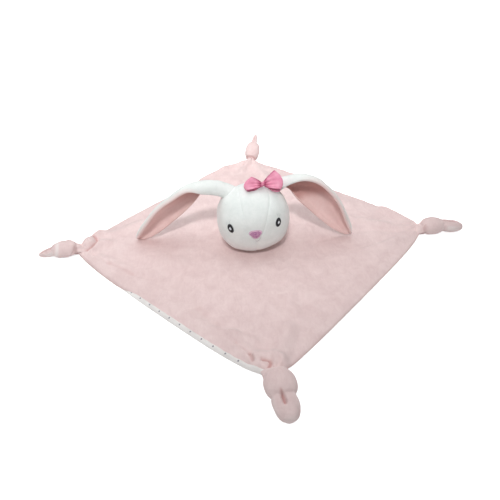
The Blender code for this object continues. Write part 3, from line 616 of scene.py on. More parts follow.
@dataclass(frozen=True)
class FloorFinish:
    """Plain white paper that keeps a faint shadow."""

    name: str
    paper: tuple
    glow: float = 0.8

    def build(self) -> bpy.types.Material:
        """Build the material, which glows only towards the camera and in gloss."""
        dye = Dye(self.name)
        dye.set(Roughness=1.0, Specular_IOR_Level=0.0, Base_Color=self.paper, Emission_Color=WHITE)
        strength = dye.maths("MULTIPLY", seen_rays(dye.tree), self.glow)
        dye.tree.links.new(strength, dye.shader.inputs["Emission Strength"])
        return dye.material


class Wardrobe:
    """Every finish of the lovey, built once."""

    def __init__(self) -> None:
        """Build the materials."""
        self.pink = VelourFinish(
            "pink_velour_pile", shade(246, 225, 223), shade(226, 200, 199), shade(248, 238, 236)
        ).build()
        self.white = VelourFinish(
            "white_velour_pile",
            shade(244, 248, 246),
            shade(226, 233, 230),
            shade(246, 238, 236),
            patch_size=0.014,
            brushed=0.2,
        ).build()
        self.ear = VelourFinish(
            "ear_velour_pile", shade(245, 248, 246), shade(228, 234, 231), shade(244, 210, 206), brushed=0.2
        ).build()
        self.lining = VelourFinish(
            "ear_lining_pile",
            shade(250, 224, 220),
            shade(238, 204, 200),
            shade(250, 228, 224),
            # Darkest colour of the lining, for the painted shade in its cup
            shade(186, 122, 114),
            sheen=0.2,
        ).build()
        self.jersey = JerseyFinish(
            "dotted_jersey_knit", shade(250, 247, 245), shade(236, 231, 229), shade(138, 134, 144)
        ).build()
        self.satin = SatinFinish(
            "pink_satin_ribbon", shade(250, 178, 202), shade(230, 130, 164), shade(182, 78, 116)
        ).build()
        threads = (
            ("black_stitching", (34, 36, 40), (12, 13, 15), 0.45),
            ("highlight_stitching", (250, 252, 255), (222, 226, 234), 0.5),
            ("mauve_stitching", (208, 162, 192), (172, 112, 156), 0.5),
            ("mauve_edge_stitching", (232, 206, 220), (212, 174, 198), 0.5),
            ("grey_stitching", (222, 220, 222), (198, 196, 200), 0.7),
            ("ash_stitching", (202, 206, 208), (172, 178, 182), 0.7),
            ("white_sewing_thread", (245, 245, 243), (222, 222, 220), 0.7),
        )
        self.black, self.glint, self.mauve, self.mauve_edge, self.grey, self.ash, self.sewing = (
            ThreadFinish(name, shade(*light), shade(*deep), roughness).build()
            for name, light, deep, roughness in threads
        )
        self.fibre = FibreFinish("fibre_filling", shade(250, 250, 250), shade(214, 216, 218)).build()


# ---------------------------------------------------------------- thread trees


class ThreadTree:
    """Geometry nodes that lay a thread along every line of a mesh."""

    def __init__(self, name: str) -> None:
        """Build the tree with its named inputs.

        Args:
            name: Name of the tree.
        """
        self.tree = bpy.data.node_groups.new(name, "GeometryNodeTree")
        interface = self.tree.interface
        interface.new_socket("Geometry", in_out="INPUT", socket_type="NodeSocketGeometry")
        self.inputs = {}
        for label, kind in (
            ("Thread radius", "NodeSocketFloat"),
            ("Thread sides", "NodeSocketInt"),
            ("Thread finish", "NodeSocketMaterial"),
        ):
            socket = interface.new_socket(label, in_out="INPUT", socket_type=kind)
            self.inputs[label] = socket.identifier
        interface.new_socket("Geometry", in_out="OUTPUT", socket_type="NodeSocketGeometry")
        nodes = self.tree.nodes
        source = nodes.new("NodeGroupInput")
        curves = nodes.new("GeometryNodeMeshToCurve")
        circle = nodes.new("GeometryNodeCurvePrimitiveCircle")
        sweep = nodes.new("GeometryNodeCurveToMesh")
        sweep.inputs["Fill Caps"].default_value = True
        real = nodes.new("GeometryNodeRealizeInstances")
        dress = nodes.new("GeometryNodeSetMaterial")
        result = nodes.new("NodeGroupOutput")
        for start, output, end, entry in (
            (source, "Geometry", curves, "Mesh"),
            (source, "Thread radius", circle, "Radius"),
            (source, "Thread sides", circle, "Resolution"),
            (curves, "Curve", sweep, "Curve"),
            (circle, "Curve", sweep, "Profile Curve"),
            (sweep, "Mesh", real, "Geometry"),
            (real, "Geometry", dress, "Geometry"),
            (source, "Thread finish", dress, "Material"),
            (dress, "Geometry", result, "Geometry"),
        ):
            self.tree.links.new(start.outputs[output], end.inputs[entry])

    def lay(
        self, name: str, lines: list, radius: float, finish: bpy.types.Material, sides: int = 6
    ) -> bpy.types.Object:
        """Lay threads along lines of points.

        Args:
            name: Name of the object.
            lines: Lines, each an array of points.
            radius: Radius of the thread.
            finish: Material of the thread.
            sides: Sides of the thread's section.

        Returns:
            The threads as one plain mesh.
        """
        points, edges = [], []
        for line in lines:
            first = len(points)
            points += [tuple(point) for point in line]
            edges += [(first + step, first + step + 1) for step in range(len(line) - 1)]
        mesh = bpy.data.meshes.new(name)
        mesh.from_pydata(points, edges, [])
        piece = bpy.data.objects.new(name, mesh)
        bpy.context.scene.collection.objects.link(piece)
        sweep = piece.modifiers.new("threads", "NODES")
        sweep.node_group = self.tree
        sweep[self.inputs["Thread radius"]] = radius
        sweep[self.inputs["Thread sides"]] = sides
        sweep[self.inputs["Thread finish"]] = finish
        bake(piece)
        piece.data.shade_smooth()
        return piece


def joined(name: str, pieces: list) -> bpy.types.Object:
    """Join pieces into one object with all their materials.

    Args:
        name: Name of the result.
        pieces: Objects to join.

    Returns:
        The joined object.
    """
    shape = bmesh.new()
    finishes = []
    for piece in pieces:
        numbers = []
        for finish in piece.data.materials:
            if finish not in finishes:
                finishes.append(finish)
            numbers.append(finishes.index(finish))
        before = len(shape.faces)
        shape.from_mesh(piece.data)
        shape.faces.ensure_lookup_table()
        for face in shape.faces[before:]:
            face.material_index = numbers[min(face.material_index, len(numbers) - 1)]
    mesh = bpy.data.meshes.new(name)
    shape.to_mesh(mesh)
    shape.free()
    for finish in finishes:
        mesh.materials.append(finish)
    mesh.shade_smooth()
    for piece in pieces:
        bpy.data.objects.remove(piece, do_unlink=True)
    result = bpy.data.objects.new(name, mesh)
    bpy.context.scene.collection.objects.link(result)
    return result


# ---------------------------------------------------------------- blanket


@dataclass(frozen=True)
class Crease:
    """Line of a fold: its points as shares of the neck radius, its height and half width."""

    path: tuple
    height: float
    half_width: float


@dataclass(frozen=True)
class Curl:
    """Fold that curls round: its centre as shares of the neck radius, and its arc."""

    centre: tuple
    radius: float
    start_deg: float
    end_deg: float
    height: float
    half_width: float


@dataclass
class Blanket:
    """Square of velour over jersey, with a pinched neck at each corner."""

    neck_radius: float = 0.1938
    necks_deg: dict = field(
        default_factory=lambda: {
            Corner.RIGHT: 0.9,
            Corner.BACK: 86.2,
            Corner.LEFT: 180.1,
            Corner.FRONT: 271.4,
        }
    )
    bow_front_right: tuple = (0.0044, 0.0062)
    bow_back_right: tuple = (0.0180, 0.0130)
    bow_back_left: tuple = (-0.0140, -0.0165)
    bow_front_left: tuple = (-0.0110, -0.0072)
    dip: float = 0.0030
    dip_share: float = 0.47
    shoulder: float = 0.030
    top_thickness: float = 0.0016
    backing_thickness: float = 0.0009
    gap: float = 0.0003
    roll: float = 0.0037
    loft: float = 0.0013
    edge_round: float = 0.0085
    front_round: float = 0.0115
    edge_height: float = 0.0016
    neck_lift: float = 0.0022
    neck_lift_length: float = 0.016
    gather_depth: float = 0.0010
    gather_length: float = 0.020
    gathers: int = 15
    fold_floor: float = 0.0006
    flat_middle: float = 0.050
    folded_from: float = 0.080
    cells: int = 190

    FOLDS = (
        Crease((-0.91, 0.02, -0.84, 0.05), 0.0052, 0.0075),
        Crease((-0.86, -0.09, -0.70, -0.21), 0.0036, 0.0075),
        Crease((-0.82, 0.13, -0.66, 0.24), 0.0030, 0.0075),
        Crease((-0.46, 0.50, -0.14, 0.78), 0.0040, 0.012),
        Crease((0.02, 0.92, -0.05, 0.70), 0.0040, 0.0075),
        Crease((0.09, 0.92, 0.16, 0.68), 0.0036, 0.0075),
        Crease((0.30, 0.66, 0.62, 0.36), 0.0034, 0.012),
        Crease((0.93, 0.04, 0.72, 0.10), 0.0036, 0.0075),
        Crease((0.93, -0.02, 0.74, -0.12), 0.0030, 0.0075),
        Crease((0.04, -0.93, 0.12, -0.72), 0.0046, 0.0075),
        Crease((-0.03, -0.92, -0.16, -0.74), 0.0034, 0.0075),
        Crease((-0.10, -0.52, 0.28, -0.46), 0.0020, 0.012),
        Crease((-0.70, -0.02, -0.36, -0.20), 0.0022, 0.012),
        Crease((0.34, -0.24, 0.66, -0.14), 0.0020, 0.012),
        Crease((-0.95, 0.07, -0.90, 0.15), 0.0058, 0.0085),
        Crease((-0.30, 0.78, -0.16, 0.88), 0.0036, 0.0095),
        Crease((-0.11, 0.90, 0.05, 0.96), 0.0040, 0.0085),
        Crease((0.97, 0.08, 0.86, 0.27), 0.0048, 0.0085),
    )
    CREASES = (
        Crease((-0.584, -0.093, -0.168, -0.094), -0.0006, 0.0030),
        Crease((-0.516, -0.207, -0.500, -0.405), 0.0007, 0.0030),
        Crease((-0.44, -0.30, -0.42, -0.36), -0.0012, 0.0120),
        Crease((-0.50, -0.47, -0.38, -0.52), 0.0006, 0.0032),
        Crease((-0.31, -0.53, -0.22, -0.68), -0.0016, 0.0085),
        Crease((-0.34, -0.58, -0.25, -0.55), 0.0007, 0.0025),
        Crease((-0.30, -0.64, -0.20, -0.62), 0.0006, 0.0022),
        Crease((-0.24, -0.685, -0.135, -0.733), 0.0018, 0.0042),
        Crease((-0.135, -0.733, -0.045, -0.790), 0.0020, 0.0042),
        Crease((-0.181, -0.753, -0.132, -0.795), -0.0013, 0.0024),
        Crease((-0.132, -0.795, -0.073, -0.862), -0.0020, 0.0024),
        Crease((0.146, -0.447, 0.151, -0.560), 0.0009, 0.0040),
        Crease((0.151, -0.560, 0.180, -0.670), 0.0009, 0.0040),
        Crease((0.195, -0.470, 0.205, -0.600), -0.0007, 0.0032),
        Crease((0.240, -0.500, 0.270, -0.620), 0.0007, 0.0036),
        Crease((-0.089, -0.170, -0.052, -0.270), 0.0007, 0.0030),
        Crease((-0.110, -0.170, -0.130, -0.230), -0.0006, 0.0026),
        Crease((0.473, -0.296, 0.557, -0.396), -0.0009, 0.0026),
        Crease((0.221, -0.120, 0.433, -0.023), -0.0006, 0.0030),
        Crease((0.454, -0.005, 0.900, 0.075), -0.0007, 0.0034),
        Crease((0.412, -0.221, 0.847, -0.072), 0.0007, 0.0040),
        Crease((0.500, -0.180, 0.820, -0.040), -0.0006, 0.0030),
        Crease((-0.306, 0.764, -0.144, 0.850), 0.0022, 0.0060),
        Crease((-0.144, 0.850, -0.030, 0.970), 0.0018, 0.0050),
        Crease((-1.000, 0.190, -0.900, 0.140), 0.0020, 0.0060),
        Crease((-0.960, -0.080, -0.720, -0.300), 0.0012, 0.0050),
        Crease((-0.900, -0.050, -0.797, -0.147), -0.0018, 0.0028),
        Crease((-0.797, -0.147, -0.660, -0.235), -0.0018, 0.0030),
        Crease((-0.700, -0.235, -0.560, -0.290), -0.0008, 0.0030),
        Crease((-0.446, -0.508, -0.137, -0.802), 0.0011, 0.0055),
        Crease((-0.480, -0.560, -0.200, -0.820), -0.0007, 0.0040),
        Crease((0.55, 0.20, 0.80, 0.10), 0.0012, 0.0060),
        Crease((0.62, 0.05, 0.86, 0.02), -0.0010, 0.0036),
        Crease((-0.20, -0.40, 0.02, -0.37), -0.0005, 0.0034),
        Crease((-0.22, -0.29, -0.05, -0.27), 0.0004, 0.0034),
        Crease((-0.058, -0.884, -0.022, -0.871, 0.026, -0.881, 0.067, -0.914, 0.082, -0.947), 0.0034, 0.0042),
        Crease((-0.021, -0.910, 0.007, -0.922, 0.012, -0.937, 0.001, -0.958), -0.0032, 0.0017),
        Crease((-0.074, -0.870, -0.064, -0.903), -0.0030, 0.0022),
        Crease((0.052, 0.960, 0.030, 0.900, -0.010, 0.820), 0.0022, 0.0032),
        Crease((0.030, 0.965, 0.000, 0.900), -0.0022, 0.0022),
    )

    CURLS = (
        Curl((-0.955, 0.045), 0.0040, 0.0, 359.0, 0.0026, 0.0060),
        Curl((-0.965, 0.050), 0.0135, -75.0, 50.0, -0.0033, 0.0020),
        Curl((-0.965, 0.050), 0.0180, -60.0, 60.0, 0.0008, 0.0030),
    )

    def neck(self, corner: Corner) -> np.ndarray:
        """Place of a corner's neck on the floor plan."""
        turn = math.radians(self.necks_deg[corner])
        return self.neck_radius * np.array([math.cos(turn), math.sin(turn)])

    def side(self, start: Corner, end: Corner, bows: tuple, t: np.ndarray) -> np.ndarray:
        """Points along one side, which bulges past the line between its necks."""
        first, last = self.neck(start), self.neck(end)
        along = last - first
        length = float(np.linalg.norm(along))
        outward = np.array([along[1], -along[0]]) / length
        rise = 1.0 - np.exp(-t * length / self.shoulder)
        fall = 1.0 - np.exp(-(1.0 - t) * length / self.shoulder)
        bow = bows[0] + (bows[1] - bows[0]) * t
        if start is Corner.RIGHT:
            bow = bow - self.dip * np.exp(-(((t - self.dip_share) / 0.11) ** 2))
        return first + t[..., None] * along + (bow * rise * fall)[..., None] * outward

    @property
    def side_length(self) -> float:
        """Distance between the front and the right neck."""
        return math.dist(self.neck(Corner.FRONT), self.neck(Corner.RIGHT))

    def plan(self, u: np.ndarray, v: np.ndarray) -> np.ndarray:
        """Places on the floor plan, between the four sides, for grids of both steps."""
        front_right = self.side(Corner.FRONT, Corner.RIGHT, self.bow_front_right, u)
        back_left = self.side(Corner.LEFT, Corner.BACK, self.bow_back_left, u)
        front_left = self.side(Corner.FRONT, Corner.LEFT, self.bow_front_left, v)
        back_right = self.side(Corner.RIGHT, Corner.BACK, self.bow_back_right, v)
        u, v = u[..., None], v[..., None]
        ruled = (1 - v) * front_right + v * back_left + (1 - u) * front_left + u * back_right
        corners = (1 - u) * (1 - v) * self.neck(Corner.FRONT) + u * (1 - v) * self.neck(Corner.RIGHT)
        corners = corners + (1 - u) * v * self.neck(Corner.LEFT) + u * v * self.neck(Corner.BACK)
        return ruled - corners

    def strip(self, v: np.ndarray) -> np.ndarray:
        """How much of the jersey shows along the front-left side, from 0 to 1."""
        return smooth_step((0.73 - v) / 0.14) * smooth_step((v + 0.01) / 0.05)

    def crease_sum(self, places: np.ndarray, creases: tuple) -> np.ndarray:
        """Height that a set of creases adds at each place."""
        total = np.zeros(places.shape[:-1])
        for crease in creases:
            path = self.neck_radius * np.array(crease.path).reshape(-1, 2)
            nearest = np.full(places.shape[:-1], np.inf)
            for start, along in zip(path[:-1], np.diff(path, axis=0)):
                t = np.clip((places - start) @ along / (along @ along), 0.0, 1.0)
                distance = np.linalg.norm(places - start - t[..., None] * along, axis=-1)
                nearest = np.minimum(nearest, distance)
            total += crease.height * np.exp(-((nearest / crease.half_width) ** 2))
        return total

    def curl_sum(self, places: np.ndarray) -> np.ndarray:
        """Height that the curled folds beside the necks add at each place."""
        total = np.zeros(places.shape[:-1])
        for curl in self.CURLS:
            offset = places - self.neck_radius * np.array(curl.centre)
            start, end = math.radians(curl.start_deg), math.radians(curl.end_deg)
            bearing = np.mod(np.arctan2(offset[..., 1], offset[..., 0]) - start, TAU)
            beside_arc = np.abs(np.linalg.norm(offset, axis=-1) - curl.radius)
            tips = [curl.radius * np.array([math.cos(turn), math.sin(turn)]) for turn in (start, end)]
            beside_tip = np.minimum(*(np.linalg.norm(offset - tip, axis=-1) for tip in tips))
            distance = np.where(bearing <= end - start, beside_arc, beside_tip)
            total += curl.height * np.exp(-((distance / curl.half_width) ** 2))
        return total

    def ground(self, places: np.ndarray) -> np.ndarray:
        """Height of the underside over the floor, zero where it lies flat."""
        height = self.crease_sum(places, self.FOLDS)
        for corner in Corner:
            distance = np.linalg.norm(places - self.neck(corner), axis=-1)
            height += self.neck_lift * np.exp(-((distance / self.neck_lift_length) ** 2))
        reach = np.linalg.norm(places, axis=-1)
        ramp = smooth_step((reach - self.flat_middle) / (self.folded_from - self.flat_middle))
        return np.maximum(0.0, height * ramp - self.fold_floor)

    def gathers_at(self, places: np.ndarray) -> np.ndarray:
        """Height of the pleats that run out from each neck."""
        total = np.zeros(places.shape[:-1])
        for number, corner in enumerate(Corner):
            offset = places - self.neck(corner)
            distance = np.linalg.norm(offset, axis=-1)
            bearing = np.arctan2(offset[..., 1], offset[..., 0])
            wobble = 0.5 * soft_noise(places, 0.03, 40 + number)
            fade = np.exp(-distance / self.gather_length) * smooth_step(distance / 0.006)
            total += self.gather_depth * fade * np.cos(self.gathers * bearing + number + wobble)
        return total

    def pile(self, places: np.ndarray) -> np.ndarray:
        """Small bumps of the soft cloth, none under the head."""
        reach = np.linalg.norm(places, axis=-1)
        clear = smooth_step((reach - 0.034) / 0.02)
        rough = 0.00030 * soft_noise(places, 0.050, 1) + 0.00022 * soft_noise(places, 0.022, 2)
        rough += 0.00010 * soft_noise(places, 0.009, 3)
        folds = self.crease_sum(places, self.CREASES) + self.curl_sum(places)
        return (self.loft + rough + folds + self.gathers_at(places)) * clear

    @staticmethod
    def steps(cells: int) -> np.ndarray:
        """Steps over the square, closer together near its sides."""
        steps = np.linspace(0.0, 1.0, cells + 1)
        return steps - 0.55 * np.sin(TAU * steps) / TAU

    def build_top(self, finish: bpy.types.Material) -> bpy.types.Object:
        """Make the velour panel, rounded down at its seams."""
        length = self.side_length
        steps = self.steps(self.cells)
        share, v = np.meshgrid(steps, steps, indexing="ij")
        first = (self.roll - 0.0006) * self.strip(v) / length
        u = first + (1.0 - first) * share
        places = self.plan(u, v)
        under = self.ground(places)
        full = self.backing_thickness + self.gap + self.top_thickness + self.pile(places)
        near_front_left = np.clip((u - first) * length / (self.edge_round * 0.8), 0.0, 1.0)
        near_back_right = np.clip((1.0 - u) * length / self.edge_round, 0.0, 1.0)
        near_v = np.clip(np.minimum(v / self.front_round, (1.0 - v) / self.edge_round) * length, 0.0, 1.0)
        plump = np.sqrt(1.0 - (1.0 - near_v) ** 2.2) * np.sqrt(1.0 - (1.0 - near_back_right) ** 2.2)
        least = 0.42 + 0.2 * self.strip(v)
        lap = least + (1.0 - least) * np.sqrt(1.0 - (1.0 - near_front_left) ** 2.0)
        level = self.edge_height + (full * lap - self.edge_height) * plump
        level += 0.0003 * soft_noise(places, 0.011, 9) * (1.0 - plump)
        least = 0.0017
        level = least + 0.5 * (level - least + np.sqrt((level - least) ** 2 + 0.0006**2))
        top = under + level
        floor = under + self.backing_thickness + self.gap
        bottom = np.maximum(np.minimum(top - 0.0009, top - self.top_thickness * plump), floor - 0.0006)
        outer = np.concatenate([places, top[..., None]], axis=-1)
        inner = np.concatenate([places, np.minimum(bottom, top - 0.0006)[..., None]], axis=-1)
        piece = cloth("blanket_velour", outer, inner, finish, steps=4, swell=1.2)
        self.press_pile_and_paint_shade(piece)
        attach(piece, "blanket")
        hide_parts("blanket_top")
        return piece

    def press_pile_and_paint_shade(self, piece: bpy.types.Object) -> None:
        """Store how much the pile is crushed, with painted shade: deep in the creases and under the seams."""
        points = mesh_points(piece)
        places = points[:, :2]
        deep = tuple(crease for crease in self.CREASES if crease.height < -0.0029)
        curls = np.maximum(-self.curl_sum(places), 0.0)
        # Painted shade, with crushed pile, deep in the curls and the deepest creases
        creased = smooth_step((curls - self.crease_sum(places, deep) - 0.0006) / 0.0024)
        # Painted shade where the cloth runs low under the seams at its edges
        low = 1.0 - smooth_step((points[:, 2] - self.ground(places) - 0.0013) / 0.0018)
        point_values(piece, "pressed_pile_and_shade", np.clip(0.45 * creased + 0.26 * low, 0.0, 0.7))

    def build_backing(self, finish: bpy.types.Material) -> bpy.types.Object:
        """Make the jersey panel, rolled up over the front-left side."""
        length = self.side_length
        roll_steps = np.linspace(0.0, self.roll * 1.45, 14) / length
        steps = self.steps(110)
        us = np.concatenate([roll_steps, steps[steps > roll_steps[-1] * 1.25]])
        share, v = np.meshgrid(us, self.steps(150), indexing="ij")
        strip = self.strip(v)
        tuck = 0.0007 / length
        u = share * (1.0 - tuck) + tuck * (1.0 - strip) * (1.0 - share)
        v = tuck + (1.0 - 2.0 * tuck) * v
        places = self.plan(u, v)
        under = self.ground(places)
        bead = np.sin(np.pi * np.clip(share * length / (self.roll * 1.4), 0.0, 1.0)) ** 0.8
        pucker = 0.00022 * soft_noise(places, 0.009, 12)
        top = under + self.backing_thickness * 0.9 + (0.0022 + pucker) * bead * strip
        outer = np.concatenate([places, top[..., None]], axis=-1)
        inner = np.concatenate([places, under[..., None]], axis=-1)
        piece = cloth("blanket_jersey", outer, inner, finish, steps=4)
        flat = self.flat_places(mesh_points(piece))
        point_places(piece, "flat", flat)
        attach(piece, "blanket")
        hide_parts("blanket_backing")
        return piece

    def flat_places(self, points: np.ndarray) -> np.ndarray:
        """Places on the flat cloth, measured in and along from its front-left side."""
        first, last = self.neck(Corner.FRONT), self.neck(Corner.LEFT)
        along = (last - first) / np.linalg.norm(last - first)
        across = np.array([-along[1], along[0]])
        offset = points[:, :2] - first
        run = offset @ along
        share = np.clip(run / self.side_length, 0.0, 1.0)
        edge = self.side(Corner.FRONT, Corner.LEFT, self.bow_front_left, share) - first
        depth = np.abs((offset - edge) @ across)
        aside = np.where(run < 0.0285, 0.007, 0.0)
        return np.stack([depth - 0.0020 + aside, run - 0.0358, np.zeros(len(points))], axis=-1)

    def build(self, wardrobe: Wardrobe) -> list:
        """Build both panels.

        Args:
            wardrobe: The finishes.

        Returns:
            The velour and the jersey panel.
        """
        top = self.build_top(wardrobe.pink)
        backing = self.build_backing(wardrobe.jersey)
        return [top, backing]


# ---------------------------------------------------------------- corner knots


@dataclass
class Band:
    """One turn of cloth round the rope: its place, tilt and thickness."""

    station: float
    tilt_deg: float
    swing_deg: float
    ring: float
    thick: float
    wide: float


@dataclass
class CornerKnot:
    """Overhand knot in one corner, from its pinched neck to the loose end."""

    corner: Corner
    heading_deg: float
    rise_deg: float
    length: float
    radius: float
    tail_half_width: float
    tail_half_height: float
    bluntness: float
    bands: tuple
    tail_notch: float = 0.5
    notch_offset: float = 0.0
    notch_lean: float = 0.0
    notch_end: float = 0.75
    tail_start: float = 0.0195
    rope: float = 0.0050
    neck_half_width: float = 0.0066
    neck_half_height: float = 0.0052
    neck_height: float = 0.0060
    heart_share: float = 0.90
    heart_middle: float = 0.0115
    heart_half_length: float = 0.0128
    heart_across: float = 0.0
    widening: float = 0.0
    tail_root: float = 0.0068
    flare_length: float = 0.016
    flare_half_width: float = 0.0110
    cloth_middle: float = 0.0019
    cloth_half: float = 0.0010
    pleats: int = 6
    pleat_depth: float = 0.0005
    neck_cloth_top: float = 0.0044
    flattening: float = 0.82
    floor_cut: float = 0.0005
    voxel: float = 0.00058
    wrap_lines: float = 0.0027
    pale_rim: float = 0.6
    pale_band: tuple = (0.0, 0.0)
    tail_bend: float = 0.0

    def place(self, blanket: Blanket, local: np.ndarray) -> np.ndarray:
        """Carry points from the knot's own frame to the blanket's corner."""
        pitch, turn = math.radians(self.rise_deg), math.radians(self.heading_deg)
        rise = local[..., 2] - self.neck_cloth_top
        bent = smooth_step((local[..., 0] + 0.004) / 0.008)
        lifted = local[..., 0] * (1 + (math.cos(pitch) - 1) * bent) - rise * math.sin(pitch) * bent
        raised = local[..., 0] * math.sin(pitch) * bent + rise * (1 + (math.cos(pitch) - 1) * bent)
        start = blanket.neck(self.corner)
        x = start[0] + lifted * math.cos(turn) - local[..., 1] * math.sin(turn)
        y = start[1] + lifted * math.sin(turn) + local[..., 1] * math.cos(turn)
        return np.stack([x, y, raised + self.neck_cloth_top], axis=-1)

    @property
    def axis_height(self) -> float:
        """Height of the knot's middle line over the floor."""
        return self.radius * self.flattening - self.floor_cut

    @staticmethod
    def ring(station: float, across: np.ndarray, height: np.ndarray, least: float = 0.0002) -> np.ndarray:
        """Ring of points at one station, kept a little over the floor."""
        return np.stack([np.full_like(across, station), across, np.maximum(height, least)], axis=-1)

    def rope_rings(self) -> np.ndarray:
        """Rings of the gathered rope, from the flat cloth to the knot's heart."""
        turns = whole_turn(96)
        rings = []
        for station in np.linspace(-self.flare_length, self.tail_start + 0.004, 70):
            out = smooth_step(np.array((station + self.flare_length) / (self.flare_length - 0.001)))
            deep = smooth_step(np.array((station - 0.001) / 0.008))
            half_width = self.flare_half_width + (self.neck_half_width - self.flare_half_width) * out**0.75
            half_width += (self.rope - self.neck_half_width) * deep
            half_height = self.cloth_half + (self.neck_half_height - self.cloth_half) * out**1.4
            half_height += (self.rope - self.neck_half_height) * deep
            tailward = smooth_step(np.array((station - 0.011) / 0.0085))
            half_width += (0.97 * self.tail_root - self.rope) * tailward
            half_height += (0.95 * self.tail_half_height - self.rope) * tailward
            middle = self.cloth_middle + (self.neck_height - self.cloth_middle) * out**1.5
            middle += (self.axis_height - self.neck_height) * deep
            phase = 0.8 * math.sin(station * 260.0)
            pleat = self.pleat_depth * np.cos(self.pleats * turns + phase) * out**2
            fine = 0.35 * self.pleat_depth * np.cos(2 * self.pleats * turns - phase) * out**2
            across = (half_width + pleat + fine) * np.cos(turns)
            height = middle + (half_height + pleat + fine) * np.sin(turns)
            rings.append(self.ring(station, across, height))
        return np.array(rings)

    def band_rings(self, band: Band) -> np.ndarray:
        """Rings of one turn of cloth round the rope."""
        rings = []
        lean, swing = math.radians(band.tilt_deg), math.radians(band.swing_deg)
        turns = whole_turn(40)
        for angle in np.linspace(0.0, TAU, 97):
            radial = np.array([0.0, math.cos(angle), math.sin(angle)])
            slope = math.tan(lean) * math.cos(angle - swing)
            centre = radial * band.ring + np.array([band.station + slope * band.ring, 0.0, 0.0])
            axis = np.array([1.0, 0.0, 0.0])
            pleat = 1.0 + 0.03 * np.cos(5 * turns + 2.0 * math.sin(angle * 2 + band.station * 900))
            ring = centre + np.outer(band.thick * pleat * np.cos(turns), radial)
            ring = ring + np.outer(band.wide * pleat * np.sin(turns), axis)
            ring[:, 2] = ring[:, 2] * self.flattening + self.axis_height
            rings.append(ring)
        return np.array(rings)

    def heart_rings(self) -> np.ndarray:
        """Rings of the smooth bulge into which the turns of cloth are drawn."""
        turns = whole_turn(64)
        rings = []
        for tilt in np.radians(np.linspace(-86.0, 86.0, 40)):
            reach = self.radius * self.heart_share * math.cos(tilt) ** 0.62
            station = self.heart_middle + self.heart_half_length * math.sin(tilt)
            height = self.axis_height + reach * self.flattening * np.sin(turns)
            across = (reach + self.widening * math.cos(tilt) ** 0.62) * np.cos(turns) + self.heart_across
            rings.append(self.ring(station, across, height))
        return np.array(rings)

    def notch(self, share: np.ndarray) -> np.ndarray:
        """How deep the tail's crease is along it, from 0 to 1."""
        return smooth_step((share - 0.04) / 0.14) * (1.0 - smooth_step((share - self.notch_end) / 0.2))

    def tail_rings(self) -> np.ndarray:
        """Rings of the loose end, a flattened tongue with a fold along it."""
        turns = whole_turn(72)
        span = self.length - self.tail_start
        rings = []
        for share in 1.0 - (1.0 - np.linspace(0.0, 0.9995, 60)) ** 1.6:
            station = self.tail_start + span * share
            full = float(smooth_step(np.array(share / 0.4)))
            swell = self.tail_root + (self.tail_half_width - self.tail_root) * full
            thick = self.tail_half_height * (0.92 + 0.08 * full)
            taper = math.sqrt(max(1.0 - share**self.bluntness, 0.0))
            across = swell * taper * np.cos(turns)
            lift = thick * taper**0.8 * np.sin(turns)
            notch = self.notch(share)
            groove = np.exp(-(((across - self.notch_offset - self.notch_lean * share) / 0.0013) ** 2))
            lift = lift - self.tail_notch * thick * groove * np.maximum(np.sin(turns), 0.0) * notch
            curl = 0.0002 * np.cos(6 * turns + 9.0 * share)
            height = self.axis_height * (1.0 - 0.3 * share) + lift + curl * taper
            across = across + curl * taper + self.tail_bend * share * share
            rings.append(self.ring(station, across, height, 0.0003))
        return np.array(rings)

    def build(self, blanket: Blanket, wardrobe: Wardrobe) -> bpy.types.Object:
        """Build the knot and its loose end as one cloth.

        Args:
            blanket: The blanket that it is part of.
            wardrobe: The finishes.

        Returns:
            The knotted corner.
        """
        points, faces = [], []
        count = 0
        parts = [self.rope_rings(), self.heart_rings(), self.tail_rings()]
        for rings in parts + [self.band_rings(band) for band in self.bands]:
            more, quads = tube(rings, count)
            points.append(more)
            faces += quads
            count += len(more)
        name = f"knotted_corner_{self.corner.value}"
        piece = new_piece(name, np.concatenate(points), faces, wardrobe.pink)
        remesh = piece.modifiers.new("one_cloth", "REMESH")
        remesh.mode = "VOXEL"
        remesh.voxel_size = self.voxel
        soften = piece.modifiers.new("soften", "SMOOTH")
        soften.factor = 0.5
        soften.iterations = 5
        bake(piece)
        local = mesh_points(piece)
        normals = mesh_normals(piece)
        first = self.bands[0]
        angle = np.arctan2(local[:, 2] - self.axis_height, local[:, 1])
        slope = first.ring * math.tan(math.radians(first.tilt_deg))
        slant = slope * np.cos(angle - math.radians(first.swing_deg))
        inside = smooth_step((local[:, 0] - 0.002) / 0.004) * (1 - smooth_step((local[:, 0] - 0.019) / 0.004))
        lines = np.cos((local[:, 0] - slant) * TAU / self.wrap_lines + 0.6 * soft_noise(local, 0.008, 21))
        lift = 0.00004 * lines * inside + 0.00010 * soft_noise(local, 0.0050, 22)
        share = (local[:, 0] - self.tail_start) / (self.length - self.tail_start)
        beside = (local[:, 1] - self.notch_offset - (self.notch_lean + self.tail_bend) * share) / 0.0011
        crease = np.exp(-(beside**2)) * self.notch(share) * (normals[:, 2] > 0.0)
        local = local + normals * lift[:, None]
        local[:, 2] = np.maximum(local[:, 2], 0.0002)
        edge = np.abs(local[:, 1] - self.tail_bend * np.clip(share, 0, 1) ** 2) / self.tail_half_width
        tip = smooth_step((share - 0.86) / 0.14)
        rim = np.maximum(smooth_step((edge - 0.62) / 0.3), tip) * smooth_step((share - 0.15) / 0.2)
        low, high = self.pale_band
        beyond = local[:, 0] - slant
        band = 0.75 * smooth_step((beyond - low) / 0.003) * (1 - smooth_step((beyond - high) / 0.004))
        pale_tint_and_bounce = np.clip(rim * self.pale_rim + (band if high > low else 0.0), 0.0, 1.0)
        placed = self.place(blanket, local)
        piece.data.vertices.foreach_set("co", placed.ravel())
        piece.data.update()
        piece.data.shade_smooth()
